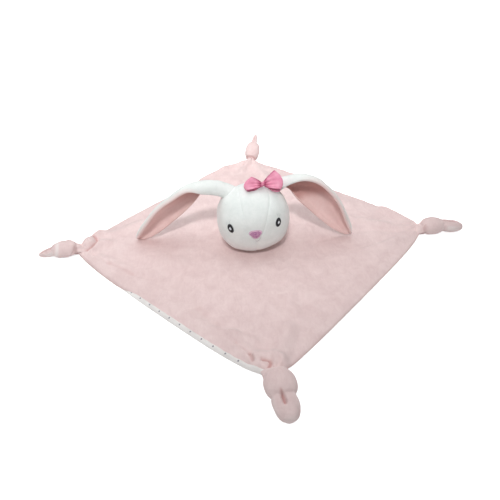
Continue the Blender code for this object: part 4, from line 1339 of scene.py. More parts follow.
        # Painted shade: darker near the floor and in the gap at the neck
        low = 1.0 - smooth_step((local[:, 2] - 0.001) / 0.006)
        gap = np.exp(-(((local[:, 0] - 0.0005) / 0.0020) ** 2)) * (np.abs(normals[:, 1]) > 0.4)
        point_values(piece, "pale_tint_and_bounce", pale_tint_and_bounce)
        # Painted shade, with crushed pile, in the tail's crease; painted shade low down and at the neck's gap
        pressed_pile_and_shade = 0.8 * self.tail_notch * crease + 0.22 * low + 0.25 * gap
        point_values(piece, "pressed_pile_and_shade", np.clip(pressed_pile_and_shade, 0.0, 0.8))
        start = self.place(blanket, np.array([-0.009, 0.0, 0.0044]))
        end = self.place(blanket, np.array([0.004, 0.0, 0.0044]))
        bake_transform(piece)
        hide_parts(f"corner_knot_{self.corner.value}", f"corner_tail_{self.corner.value}")
        return piece


def knotted_corners() -> list:
    """List the four corners with their own sizes."""
    return [
        CornerKnot(
            Corner.RIGHT, 0.2, 0.0, 0.0472, 0.0120, 0.0084, 0.0066, 3.8,
            bands=(
                Band(0.0088, 32.0, 100.0, 0.0060, 0.0050, 0.0046),
                Band(0.0158, -26.0, 60.0, 0.0052, 0.0046, 0.0042),
            ),
            tail_notch=0.7, notch_offset=0.0012, notch_end=0.55, tail_bend=-0.001, tail_root=0.0068,
            neck_half_width=0.0072, neck_half_height=0.0054, heart_share=0.93,
        ),
        CornerKnot(
            Corner.BACK, 73.2, 37.4, 0.0420, 0.0105, 0.0050, 0.0046, 1.3,
            bands=(
                Band(0.0090, -30.0, 80.0, 0.0050, 0.0046, 0.0048),
                Band(0.0155, 24.0, 120.0, 0.0044, 0.0042, 0.0040),
            ),
            tail_notch=0.3, pale_rim=1.0, tail_root=0.0050,
            neck_half_width=0.0054, neck_half_height=0.0048,
            heart_share=0.97, heart_middle=0.0130, heart_half_length=0.0140,
        ),
        CornerKnot(
            Corner.LEFT, 191.6, 0.0, 0.0400, 0.0125, 0.0066, 0.0052, 1.7,
            bands=(
                Band(0.0086, 34.0, 250.0, 0.0062, 0.0052, 0.0048),
                Band(0.0160, -20.0, 200.0, 0.0054, 0.0046, 0.0044),
            ),
            tail_notch=0.5, pale_rim=0.8, pale_band=(0.0190, 0.0220), tail_root=0.0062,
            heart_share=0.90, heart_middle=0.0122, heart_half_length=0.0138, flattening=0.72,
        ),
        CornerKnot(
            Corner.FRONT, 279.0, 0.0, 0.0466, 0.0130, 0.0110, 0.0066, 4.0,
            bands=(
                Band(0.0092, -30.0, 60.0, 0.0066, 0.0056, 0.0052),
                Band(0.0165, 22.0, 140.0, 0.0056, 0.0048, 0.0044),
            ),
            tail_notch=0.8, notch_offset=-0.0022, notch_lean=0.0022, notch_end=0.42,
            pale_rim=0.25, tail_root=0.0092,
            neck_half_width=0.0100, neck_half_height=0.0060, heart_share=0.95,
            heart_middle=0.0128, heart_half_length=0.0136, widening=0.0014, heart_across=0.0006,
        ),
    ]


# ---------------------------------------------------------------- head


@dataclass
class Head:
    """Round head of three velour panels over its filling, sewn to the blanket."""

    centre: tuple = (0.0011, -0.0025, 0.0377)
    half_size: tuple = (0.0389, 0.0351, 0.0354)
    roundness: float = 2.25
    heading_deg: float = 0.5
    roll_deg: float = -5.0
    seat: float = 0.0031
    thickness: float = 0.0015
    seam_depth: float = 0.0005
    seam_width: float = 0.0013
    seam_clear: float = 0.00003
    pucker_depth: float = 0.00016
    pucker_length: float = 0.0031
    seam_table: tuple = (
        (-6.0, 0.09, 0.09),
        (0.0, 0.17, 0.20),
        (12.0, 0.24, 0.29),
        (37.0, 0.285, 0.41),
        (62.0, 0.31, 0.50),
        (95.0, 0.33, 0.47),
        (140.0, 0.34, 0.38),
        (190.0, 0.28, 0.28),
        (232.0, 0.12, 0.12),
    )
    sectors: int = 260
    panel_rings: int = 46
    gusset_columns: int = 44
    stitch_ring: float = 0.0155

    def __post_init__(self) -> None:
        """Work out the head's own axes."""
        turn, roll = math.radians(self.heading_deg), math.radians(self.roll_deg)
        heading = Matrix.Rotation(turn, 3, "Z")
        tilt = Matrix.Rotation(roll, 3, "Y")
        self.axes = np.array(heading @ tilt)
        self.origin = np.array(self.centre)

    def surface(self, directions: np.ndarray, lift) -> np.ndarray:
        """Points over the head's rounded shape, with its underside flat on its seat."""
        directions = directions / np.linalg.norm(directions, axis=-1, keepdims=True)
        total = np.sum(np.abs(directions / np.array(self.half_size)) ** self.roundness, axis=-1)
        reach = total ** (-1.0 / self.roundness) + lift
        points = self.origin + (directions * reach[..., None]) @ self.axes.T
        points[..., 2] = np.maximum(points[..., 2], self.seat - lift)
        return points

    def lumps(self, directions: np.ndarray) -> np.ndarray:
        """Lift of the filling's soft lumps under the cloth."""
        places = directions * self.half_size[0]
        return 0.00030 * soft_noise(places, 0.030, 5) + 0.00013 * soft_noise(places, 0.011, 6)

    @staticmethod
    def meridian(latitude: np.ndarray, turn: np.ndarray) -> np.ndarray:
        """Direction with its poles at the cheeks; turn 0 is the face and 90 the crown."""
        across = np.cos(latitude)
        parts = [np.sin(latitude), -across * np.cos(turn), across * np.sin(turn)]
        return np.stack(np.broadcast_arrays(*parts), axis=-1)

    def seam(self, turns_deg: np.ndarray, side: Side) -> np.ndarray:
        """Latitude of one seam of the gusset, zero where the side panels meet."""
        angles, left, right = (np.array(column) for column in zip(*self.seam_table))
        keys = np.radians(angles)
        shares = smooth_table(
            np.clip(np.radians(turns_deg), keys[0], keys[-1]),
            keys,
            np.stack([left, right], axis=-1),
        )[:, 0 if side is Side.LEFT else 1]
        inside = (turns_deg >= angles[0] - 0.01) & (turns_deg <= angles[-1] + 0.01)
        return np.where(inside, np.arcsin(shares), 0.0)

    def seam_turns(self) -> tuple:
        """Turns over the gusset and under the chin, in degrees."""
        first, last = self.seam_table[0][0], self.seam_table[-1][0]
        over = int(self.sectors * (last - first) / 360.0)
        top = np.linspace(first, last, over + 1)
        under = np.linspace(last, first + 360.0, self.sectors - over + 1)[1:-1]
        return top, under

    def seam_lift(self, distance: np.ndarray, turns_deg: np.ndarray) -> np.ndarray:
        """Lift near a seam: a groove with small puckers beside it."""
        along = np.radians(turns_deg) * self.half_size[1]
        groove = -self.seam_depth * np.exp(-((distance / self.seam_width) ** 1.3))
        pucker = self.pucker_depth * np.sin(TAU * along / self.pucker_length + np.sin(along * 190.0))
        return groove + pucker * np.exp(-distance / 0.0028) * (1.0 - np.exp(-distance / 0.0008))

    def build_panel(self, side: Side, finish: bpy.types.Material) -> bpy.types.Object:
        """Make one cheek panel, from its seam to the middle of the cheek."""
        turns = np.concatenate(self.seam_turns())
        edge = self.seam(turns, side) + self.seam_clear / self.half_size[0]
        shares = np.linspace(0.0, 1.0, self.panel_rings + 1) ** 1.5
        latitude = edge[None, :] + (math.pi / 2 - 0.004 - edge[None, :]) * shares[:, None]
        directions = self.meridian(side.value * latitude, np.radians(turns)[None, :])
        distance = (latitude - edge[None, :]) * self.half_size[0]
        lift = self.lumps(directions) + self.seam_lift(distance, turns[None, :])
        outer = self.surface(directions, lift)
        inner = self.surface(directions, np.minimum(lift, 0.0) * 0.3 - self.thickness)
        piece = cloth(f"head_cheek_{side.word}", outer, inner, finish, wrap=True, steps=2)
        self.close_pole(piece)
        self.dress(piece, f"head_panel_{side.word}")
        return piece

    @staticmethod
    def close_pole(piece: bpy.types.Object) -> None:
        """Draw the small rings at the middle of the cheek together."""
        shape = bmesh.new()
        shape.from_mesh(piece.data)
        bmesh.ops.remove_doubles(shape, verts=shape.verts, dist=0.00002)
        bmesh.ops.recalc_face_normals(shape, faces=shape.faces)
        shape.to_mesh(piece.data)
        shape.free()

    def build_gusset(self, finish: bpy.types.Material) -> bpy.types.Object:
        """Make the middle panel from the nose over the crown to the nape."""
        turns, _ = self.seam_turns()
        left = self.seam(turns, Side.LEFT)[:, None]
        right = self.seam(turns, Side.RIGHT)[:, None]
        clear = self.seam_clear / self.half_size[0]
        shares = np.linspace(0.0, 1.0, self.gusset_columns + 1)
        shares = (shares - 0.6 * np.sin(TAU * shares) / TAU)[None, :]
        latitude = (clear - left) + (right + left - 2 * clear) * shares
        directions = self.meridian(latitude, np.radians(turns)[:, None])
        distance = np.minimum(latitude + left, right - latitude) * self.half_size[0]
        lift = self.lumps(directions) + self.seam_lift(distance, turns[:, None])
        outer = self.surface(directions, lift)
        inner = self.surface(directions, np.minimum(lift, 0.0) * 0.3 - self.thickness)
        piece = cloth("head_middle_panel", outer, inner, finish, steps=2)
        self.dress(piece, "head_gusset")
        return piece

    @staticmethod
    def dress(piece: bpy.types.Object, node: str) -> None:
        """Let a velour panel move with the head, tint its lower part with painted pink bounce light from the
        blanket, and stand for its node.
        """
        heights = mesh_points(piece)[:, 2]
        # Painted pink bounce light from the blanket, strongest low on the head
        point_values(piece, "pale_tint_and_bounce", 0.55 * (1.0 - smooth_step((heights - 0.004) / 0.020)))
        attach(piece, "head")
        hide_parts(node)

    def build_filling(self, finish: bpy.types.Material) -> bpy.types.Object:
        """Make the lumpy fibre filling inside the panels."""
        rows, columns = 56, 96
        tilt = np.linspace(-math.radians(88.0), math.radians(88.0), rows)[:, None]
        turn = whole_turn(columns)[None, :]
        parts = [np.cos(tilt) * np.cos(turn), np.cos(tilt) * np.sin(turn), np.sin(tilt) + 0 * turn]
        directions = np.stack(parts, axis=-1)
        places = directions * self.half_size[0]
        lump = 0.0004 * soft_noise(places, 0.012, 31) + 0.0002 * soft_noise(places, 0.005, 32)
        rings = self.surface(directions, -self.thickness - 0.0014 - np.abs(lump))
        points, faces = tube(rings, 0)
        piece = new_piece("head_fibre_filling", points, faces, finish)
        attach(piece, "head")
        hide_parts("head_stuffing")
        return piece

    def build_attachment(self, threads: ThreadTree, finish: bpy.types.Material) -> bpy.types.Object:
        """Make the ring of slanting stitches that sews the head to the blanket."""
        count, radius = 46, 0.00026
        lines = []
        for number in range(count):
            line = []
            for share in np.linspace(0.0, 1.0, 9):
                turn = TAU * (number + 1.35 * share) / count
                reach = self.stitch_ring - 0.0022 + 0.0010 * math.cos(math.pi * share)
                height = self.seat - 0.00005 + 0.0004 * math.sin(math.pi * share)
                x = self.origin[0] + reach * math.cos(turn)
                y = self.origin[1] + reach * math.sin(turn)
                line.append((x, y, height))
            lines.append(line)
        piece = threads.lay("head_sewing_ring", lines, radius, finish)
        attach(piece, "blanket")
        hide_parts("head_attachment_stitches")
        return piece

    def build(self, wardrobe: Wardrobe, threads: ThreadTree) -> list:
        """Build the panels, the filling and the ring of stitches.

        Args:
            wardrobe: The finishes.
            threads: Tree that lays threads.

        Returns:
            The pieces.
        """
        pieces = [self.build_panel(side, wardrobe.white) for side in Side]
        pieces.append(self.build_gusset(wardrobe.white))
        pieces.append(self.build_filling(wardrobe.fibre))
        pieces.append(self.build_attachment(threads, wardrobe.sewing))
        return pieces


# ---------------------------------------------------------------- face


@dataclass
class Face:
    """Embroidered eyes, lashes, nose and mouth, laid on the head."""

    head: Head
    eye_azimuth_deg: float = 41.0
    eye_elevation_deg: float = 11.5
    eye_half_width: float = 0.00325
    eye_half_height: float = 0.0047
    eye_tilt_deg: float = 17.0
    eye_hole: float = 0.29
    eye_stitches: int = 74
    nose_elevation_deg: float = 1.0
    nose_half_width: float = 0.0063
    nose_half_height: float = 0.0050
    nose_corners: float = 0.14
    nose_stitches: int = 50
    mouth_deg: tuple = ((-1.0, -11.6), (0.8, -12.8), (3.2, -12.2), (5.4, -10.0), (7.2, -7.0), (8.4, -4.4))
    lash_length: float = 0.0044

    def direction(self, azimuth_deg: float, elevation_deg: float) -> np.ndarray:
        """Direction on the head; azimuth 0 is the nose and positive the right cheek."""
        azimuth, elevation = math.radians(azimuth_deg), math.radians(elevation_deg)
        level = math.cos(elevation)
        return np.array([level * math.sin(azimuth), -level * math.cos(azimuth), math.sin(elevation)])

    def beside(self, direction: np.ndarray, across: float, up: float) -> np.ndarray:
        """Direction of the point that lies a short way across and up the surface."""
        reach = np.linalg.norm(self.head.surface(direction, 0.0) - self.head.origin)
        right = np.cross(np.array([0.0, 0.0, 1.0]), direction)
        right /= np.linalg.norm(right)
        return direction + (right * across + np.cross(direction, right) * up) / reach

    def lay(self, direction: np.ndarray, flat: list, lifts: list) -> np.ndarray:
        """Carry a line drawn on the flat to the head, each point with its own lift."""
        points = []
        for (across, up), lift in zip(flat, lifts):
            spot = self.beside(direction, across, up)
            cloth_lift = float(self.head.lumps(spot / np.linalg.norm(spot)))
            points.append(self.head.surface(spot, np.array(lift + max(cloth_lift, -0.0002))))
        return np.array(points)

    def leaned(self, across: float, up: float, side: Side) -> tuple:
        """Turn a flat point by an eye's lean."""
        lean = math.radians(-side.value * self.eye_tilt_deg)
        level = across * math.cos(lean) - up * math.sin(lean)
        return level, across * math.sin(lean) + up * math.cos(lean)

    def oval(self, turn: float, share: float, side: Side) -> tuple:
        """Point of an eye's leaning oval."""
        x = self.eye_half_width * share * math.cos(turn)
        y = self.eye_half_height * share * math.sin(turn)
        return self.leaned(x, y, side)

    def patch(
        self, name: str, direction: np.ndarray, outline, lift: float, dome: float, finish
    ) -> bpy.types.Object:
        """Make a low domed patch under the stitches.

        Args:
            name: Name of the piece.
            direction: Middle of the patch.
            outline: Function from the turn and the share to a flat point.
            lift: Height of its rim over the head.
            dome: Rise of its middle over the rim.
            finish: Material of the patch.

        Returns:
            The patch.
        """
        rings = []
        for share in (1.0, 0.97, 0.85, 0.6, 0.3, 0.02):
            ring = [outline(turn, share) for turn in whole_turn(40)]
            rise = lift + dome * math.sqrt(max(0.0, 1.0 - share * share))
            rings.append(self.lay(direction, ring, [rise] * len(ring)))
        low = [outline(turn, 0.96) for turn in whole_turn(40)]
        rings.insert(0, self.lay(direction, low, [-0.0004] * len(low)))
        points, faces = tube(np.array(rings), 0)
        return new_piece(name, points, faces, finish)

    def build_eye(self, side: Side, wardrobe: Wardrobe, threads: ThreadTree) -> list:
        """Make one eye: a ring of satin stitches round a white highlight."""
        direction = self.direction(side.value * self.eye_azimuth_deg, self.eye_elevation_deg)
        lines = []
        for number in range(self.eye_stitches):
            turn = TAU * number / self.eye_stitches
            shares = np.linspace(1.02, self.eye_hole - 0.02, 7)
            flat = [self.oval(turn + 0.10 * (1 - share), share, side) for share in shares]
            lifts = [0.0002 + 0.0006 * math.sin(math.pi * step / 6) for step in range(7)]
            lines.append(self.lay(direction, flat, lifts))
        ring = threads.lay(f"eye_ring_{side.word}", lines, 0.00022, wardrobe.black)
        base = self.patch(
            f"eye_base_{side.word}",
            direction,
            lambda turn, share: self.oval(turn, share, side),
            0.0001,
            0.0003,
            wardrobe.black,
        )
        eye = joined(f"eye_embroidery_{side.word}", [ring, base])
        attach(eye, "head")
        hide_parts(f"eye_{side.word}")

        glints = []
        half = self.eye_half_width * (self.eye_hole + 0.02)
        for across in np.linspace(-half * 0.92, half * 0.92, 11):
            reach = self.eye_half_height * (self.eye_hole + 0.02) * math.sqrt(1.0 - (across / half) ** 2)
            flat = [self.leaned(across, up, side) for up in np.linspace(-reach, reach, 7)]
            lifts = [0.0006 + 0.0003 * math.sin(math.pi * step / 6) for step in range(7)]
            glints.append(self.lay(direction, flat, lifts))
        glint = threads.lay(f"eye_glint_{side.word}", glints, 0.00020, wardrobe.glint)
        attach(glint, "head")
        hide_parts(f"eye_highlight_{side.word}")

        circle = [self.oval(turn, 1.06, side) for turn in np.linspace(0.0, TAU, 61)]
        outline = threads.lay(
            f"eye_outline_{side.word}", [self.lay(direction, circle, [0.00006] * 61)], 0.00010, wardrobe.ash
        )
        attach(outline, "head")

        pieces = [eye, glint, outline]
        for lash in range(3):
            fan = math.radians(50.0 + (lash - 1) * 19.0)
            flat = []
            for share in np.linspace(0.0, 1.0, 9):
                reach = self.eye_half_height * 1.12 + self.lash_length * share
                bend = fan + math.radians(14.0) * share
                flat.append((side.value * reach * math.cos(bend) * 0.86, reach * math.sin(bend)))
            line = self.lay(direction, flat, [0.00016] * 9)
            piece = threads.lay(f"lash_thread_{side.word}_{lash + 1}", [line], 0.00010, wardrobe.ash)
            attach(piece, "head")
            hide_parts(f"lash_{side.word}_{lash + 1}")
            pieces.append(piece)
        return pieces

    def nose_outline(self, turn: float, share: float) -> tuple:
        """Point of the nose's rounded triangle."""
        reach = share * (1.0 + self.nose_corners * math.cos(3.0 * turn + 1.5 * math.pi))
        up = reach * math.sin(turn) + self.nose_corners
        return self.nose_half_width * reach * math.cos(turn), self.nose_half_height * up

    def build_nose(self, wardrobe: Wardrobe, threads: ThreadTree) -> bpy.types.Object:
        """Make the nose: upright satin stitches inside a lighter stitched rim."""
        direction = self.direction(0.0, self.nose_elevation_deg)
        turns = np.linspace(0.0, TAU, 721)
        outline = np.array([self.nose_outline(turn, 0.82) for turn in turns])
        lines = []
        for across in np.linspace(outline[:, 0].min() * 0.97, outline[:, 0].max() * 0.97, self.nose_stitches):
            near = outline[np.abs(outline[:, 0] - across) < 0.00008]
            if len(near) < 2:
                continue
            ends = np.linspace(near[:, 1].max(), near[:, 1].min(), 9)
            flat = [(across + 0.00008 * math.sin(step * 1.7), up) for step, up in enumerate(ends)]
            lifts = [0.00025 + 0.0010 * math.sin(math.pi * (step + 0.6) / 9.2) for step in range(9)]
            lines.append(self.lay(direction, flat, lifts))
        fill = threads.lay("nose_fill", lines, 0.00020, wardrobe.mauve)
        rims = []
        count, shares = 84, (1.02, 0.95, 0.86, 0.76)
        for number in range(count):
            turn = TAU * number / count
            flat = [self.nose_outline(turn + 0.03 * step, share) for step, share in enumerate(shares)]
            rims.append(self.lay(direction, flat, [0.0001, 0.0006, 0.0009, 0.0007]))
        rim = threads.lay("nose_rim", rims, 0.00021, wardrobe.mauve_edge)
        base = self.patch("nose_base", direction, self.nose_outline, 0.0001, 0.0006, wardrobe.mauve)
        nose = joined("nose_embroidery", [fill, rim, base])
        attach(nose, "head")
        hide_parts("nose")
        return nose

    def build_mouth(self, wardrobe: Wardrobe, threads: ThreadTree) -> bpy.types.Object:
        """Make the mouth: short overlapping stitches along a hooked line."""
        keys = np.arange(len(self.mouth_deg), dtype=float)
        path = smooth_table(np.linspace(0.0, keys[-1], 61), keys, np.array(self.mouth_deg))
        lines = []
        for strand in (-1, 1):
            line = []
            for step, (azimuth, elevation) in enumerate(path):
                spot = self.direction(azimuth, elevation)
                twist = TAU * step / 9.0 + math.pi * strand / 2
                lift = 0.00030 + 0.00016 * math.sin(twist)
                spot = self.beside(spot, 0.00018 * math.cos(twist), 0.00018 * math.cos(twist))
                line.append(self.head.surface(spot, np.array(lift)))
            lines.append(line)
        piece = threads.lay("mouth_thread", lines, 0.00022, wardrobe.grey)
        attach(piece, "head")
        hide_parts("mouth_stitch")
        return piece

    def build(self, wardrobe: Wardrobe, threads: ThreadTree) -> list:
        """Build the whole face.

        Args:
            wardrobe: The finishes.
            threads: Tree that lays threads.

        Returns:
            The pieces.
        """
        pieces = []
        for side in Side:
            pieces += self.build_eye(side, wardrobe, threads)
        return pieces + [self.build_nose(wardrobe, threads), self.build_mouth(wardrobe, threads)]


# ---------------------------------------------------------------- ears


@dataclass(frozen=True)
class Dent:
    """Soft dent or ridge in an ear: its middle, angle, reach each way and depth."""

    row: float
    turn_deg: float
    angle_deg: float
    half_length: float
    half_width: float
    depth: float


@dataclass
class Ear:
    """One long drooping ear: a white back that wraps round a pink lining."""

    head: Head
    side: Side
    reach: float
    setback: float
    rise: float
    half_width: float
    cup_depth: float
    sections: tuple
    twists_deg: tuple
    rears_deg: tuple
    fronts_deg: tuple
    pocket_shade: tuple
    dents: tuple
    pivot: tuple
    cloth_top: float = 0.0028
    back_thickness: float = 0.0015
    lining_thickness: float = 0.0010
    lining_clear: float = 0.0005
    bead: float = 0.0014
    bead_width: float = 0.0022
    rim: float = 0.0019
    rear_reach: float = 0.0006
    least_share: float = 0.25
    section_spacing: float = 0.0125
    rows: int = 110
    columns: int = 56

    @property
    def stations(self) -> np.ndarray:
        """Place of each row of the grid among the sections, from 0 at the root."""
        return np.linspace(0.0, 9.0, self.rows)[:, None]

    @property
    def shares(self) -> np.ndarray:
        """Place of each column between the rear and the front edge, from 0 to 1."""
        return np.linspace(0.0, 1.0, self.columns + 1)[None, :]

    def crests(self) -> np.ndarray:
        """Points of the crest, from inside the head to the tip over the blanket."""
        top = self.head.origin[2] + self.head.half_size[2] + self.rise - self.cloth_top
        points = []
        for reach, setback, height, _, _ in self.sections:
            x = self.head.origin[0] + self.side.value * self.reach * reach
            y = self.head.origin[1] + self.setback * setback
            points.append((x, y, self.cloth_top + top * height))
        return np.array(points)

    def sizes(self) -> np.ndarray:
        """Half width, depth, twist and the two edges' turns at each row."""
        turns = np.radians([self.twists_deg, self.rears_deg, self.fronts_deg]).T
        shares = np.array(self.sections)[:, 3:] * (self.half_width, self.cup_depth)
        return np.concatenate([shares, turns], axis=1)

    def edges(self) -> np.ndarray:
        """Turns of the rear and front edges, in radians, for each row of the grid."""
        sizes = self.sizes()
        samples = np.linspace(0.0, len(sizes) - 1.0, self.rows)
        return smooth_table(samples, np.arange(float(len(sizes))), sizes)[:, 3:]

    def layer(self, inset: np.ndarray, rim: float, rear: float = 0.0) -> np.ndarray:
        """Grid of points over the ear.

        Args:
            inset: How far inside the surface of the back each point is.
            rim: How far the grid stays from the ear's front edge.
            rear: How far it reaches past the rear edge.

        Returns:
            Grid of points, from the root to the tip and from the rear to the front edge.
        """
        crests = self.crests()
        keys = np.arange(len(crests), dtype=float)
        samples = np.linspace(0.0, keys[-1], self.rows)
        middle = smooth_table(samples, keys, crests)
        shape = smooth_table(samples, keys, self.sizes())
        close = np.sqrt(np.clip((keys[-1] - samples) / 0.45, 0.0, 1.0))
        along = np.gradient(middle, axis=0)
        along /= np.linalg.norm(along, axis=-1, keepdims=True)
        back = np.array([0.0, 1.0, 0.0]) - along * along[:, 1:2]
        back /= np.linalg.norm(back, axis=-1, keepdims=True)
        up = np.cross(along, back)
        up *= np.where(up[:, 2:3] > 0, 1.0, -1.0)
        half_width = shape[:, 0:1] * (0.45 + 0.55 * close[:, None])
        depth = shape[:, 1:2] * (0.45 + 0.55 * close[:, None])
        twist = shape[:, 2:3]
        wide = -back * np.cos(twist) + up * np.sin(twist)
        outward = up * np.cos(twist) + back * np.sin(twist)
        wide_reach = np.maximum(half_width - inset, half_width * self.least_share)
        deep_reach = np.maximum(depth - inset, depth * self.least_share)
        mean = np.maximum((half_width + depth) / 2, self.rim * 2)
        start = shape[:, 3:4] - rear / mean
        end = shape[:, 4:5] - rim / mean
        turn = start + (end - start) * self.shares
        centre = middle - outward * depth
        spread = wide[:, None, :] * (wide_reach * np.sin(turn))[..., None]
        return centre[:, None, :] + spread + outward[:, None, :] * (deep_reach * np.cos(turn))[..., None]

    def texture(self, seed: int, lump: float) -> np.ndarray:
        """Extra inset of the soft lumps and the dents, over the whole grid."""
        rows = self.stations
        rear, front = self.edges().T[..., None]
        turns = rear + (front - rear) * self.shares
        places = (rows * self.section_spacing, turns * self.half_width * 0.8)
        flat = np.stack(np.broadcast_arrays(*places), axis=-1)
        total = lump * soft_noise(flat, 0.024, seed) + 0.4 * lump * soft_noise(flat, 0.009, seed + 1)
        for dent in self.dents:
            around = math.radians(dent.turn_deg) * self.half_width * 0.8
            spot = np.array([dent.row * self.section_spacing, around])
            lean = math.radians(dent.angle_deg)
            offset = flat - spot
            length = offset @ np.array([math.cos(lean), math.sin(lean)])
            width = offset @ np.array([-math.sin(lean), math.cos(lean)])
            total += dent.depth * np.exp(-((length / dent.half_length) ** 2) - (width / dent.half_width) ** 2)
        return total

    def edge_bead(self) -> np.ndarray:
        """Extra thickness of the back near the ear's seam, over the whole grid."""
        span = np.diff(self.edges(), axis=1) * self.half_width * 0.72
        ends = (9.0 - self.stations) * 0.012
        return self.bead * np.exp(-((np.minimum((1.0 - self.shares) * span, ends) / self.bead_width) ** 2))

    def paint_pocket_shade(self, count: int) -> np.ndarray:
        """How much painted shade the lining takes: most in the cup just below the root."""
        rear_row, front_row, soft, depth = self.pocket_shade
        rows = self.stations[:-3]
        last = rear_row + (front_row - rear_row) * self.shares
        values = np.zeros(count)
        grid = depth * (1.0 - smooth_step((rows - last + soft) / (2.0 * soft)))
        values[: 2 * grid.size] = np.tile(grid.ravel(), 2)
        return values

    def pink_edge(self, count: int) -> np.ndarray:
        """How pink each point of the back is: at both edges, where the lining rolls over them."""
        column = np.arange(self.columns + 1)[None, :]
        near = 1.0 - smooth_step((column - 1.0) / 2.0)
        front = 0.75 * smooth_step((column - self.columns + 9.0) / 9.0)
        grid = np.maximum(near, front * smooth_step((self.stations - 2.5) / 2.0))
        walk, _ = border(self.rows, self.columns + 1)
        rim = grid[tuple(np.array(walk).T)]
        values = np.concatenate([0.6 * grid.ravel(), grid.ravel(), np.tile(rim, 4)])
        return values[:count]

    def build(self, wardrobe: Wardrobe) -> list:
        """Build the back and the lining.

        Args:
            wardrobe: The finishes.

        Returns:
            The two pieces.
        """
        folds = self.texture(60 + self.side.value, 0.0003)
        bead = self.edge_bead()
        outer = self.layer(-0.0002 + 0.6 * folds, 0.0)
        inner = self.layer(self.back_thickness + 0.6 * folds + bead, 0.0)
        name = f"ear_{self.side.word}"
        back = cloth(f"{name}_velour_back", outer, inner, wardrobe.ear, steps=4, swell=0.9)
        point_values(back, "pale_tint_and_bounce", self.pink_edge(len(back.data.vertices)))
        near_edge = np.exp(-((self.shares / 0.05) ** 2))
        depth = self.back_thickness + self.lining_clear + folds - 0.0009 * near_edge
        outer = self.layer(depth, self.rim, self.rear_reach)[:-3]
        inner = self.layer(depth + self.lining_thickness, self.rim, self.rear_reach)[:-3]
        lining = cloth(f"{name}_pink_lining", outer, inner, wardrobe.lining, steps=3)
        # Painted shade in the lining's cup below the root
        point_values(lining, "pressed_pile_and_shade", self.paint_pocket_shade(len(lining.data.vertices)))
        for piece, node, slot in (
            (back, f"{name}_back", "white_velour"),
            (lining, f"{name}_lining", "pink_velour"),
        ):
            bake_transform(piece)
            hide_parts(node)
        return [back, lining]


def drooping_ears(head: Head) -> list:
    """List the two ears with their own sizes."""
    left = (
        (0.055, 0.60, 0.78, 0.48, 0.76),
        (0.155, 0.63, 0.90, 0.52, 0.79),
        (0.262, 0.68, 0.98, 0.58, 0.75),
        (0.386, 0.76, 1.00, 0.70, 0.82),
        (0.501, 0.87, 0.935, 0.89, 0.94),
        (0.630, 0.97, 0.71, 1.00, 1.00),
        (0.761, 1.00, 0.49, 0.91, 0.87),
        (0.886, 0.95, 0.257, 0.69, 0.61),
        (0.963, 0.90, 0.116, 0.42, 0.36),
        (1.000, 0.86, 0.049, 0.17, 0.16),
    )
    right = (
        (0.063, 0.83, 0.82, 0.41, 0.63),
        (0.181, 0.89, 0.935, 0.44, 0.67),
        (0.312, 0.97, 1.00, 0.57, 0.75),
        (0.440, 1.00, 1.00, 0.82, 0.91),
        (0.558, 0.97, 0.92, 0.97, 1.00),
        (0.671, 0.89, 0.755, 1.00, 1.00),
        (0.782, 0.72, 0.544, 0.90, 0.86),
        (0.891, 0.47, 0.296, 0.66, 0.59),
        (0.962, 0.25, 0.146, 0.39, 0.33),
        (1.000, 0.08, 0.066, 0.15, 0.14),
    )
    return [
        Ear(
            head, Side.LEFT, 0.1299, 0.0190, 0.0037, 0.0175, 0.0112, left,
            (0.0, 0.0, 6.0, 22.0, 48.0, 62.0, 66.0, 66.0, 66.0, 66.0),
            (-95.0, -95.0, -95.0, -92.0, -80.0, -74.0, -80.0, -90.0, -95.0, -95.0),
            (120.0, 120.0, 120.0, 116.0, 97.0, 97.0, 98.0, 110.0, 118.0, 120.0),
            # Rows, softness and depth of the painted shade in the lining's cup
            (4.3, 5.9, 0.8, 0.72),
            (
                Dent(1.6, 0.0, 90.0, 0.012, 0.0022, 0.0010),
                Dent(2.3, -30.0, 70.0, 0.010, 0.0020, 0.0008),
                Dent(5.2, 25.0, 10.0, 0.016, 0.0045, 0.0009),
            ),
            (-0.01743, 0.00938, 0.06847),
        ),
        Ear(
            head, Side.RIGHT, 0.1101, 0.0180, 0.0021, 0.0195, 0.0126, right,
            (0.0, 8.0, 34.0, 54.0, 63.0, 66.0, 66.0, 65.0, 65.0, 65.0),
            (-95.0,) * 10,
            (120.0, 110.0, 97.0, 94.0, 95.0, 96.0, 98.0, 110.0, 116.0, 120.0),
            # Rows, softness and depth of the painted shade in the lining's cup
            (4.4, 5.9, 0.45, 0.64),
            (
                Dent(1.6, 0.0, 90.0, 0.012, 0.0022, 0.0009),
                Dent(3.2, 10.0, 35.0, 0.011, 0.0022, -0.0020),
                Dent(3.7, -8.0, 40.0, 0.012, 0.0030, 0.0016),
                Dent(4.6, 55.0, 60.0, 0.009, 0.0024, 0.0012),
            ),
            (0.01761, 0.01322, 0.06862),
        ),
    ]


# ---------------------------------------------------------------- bow


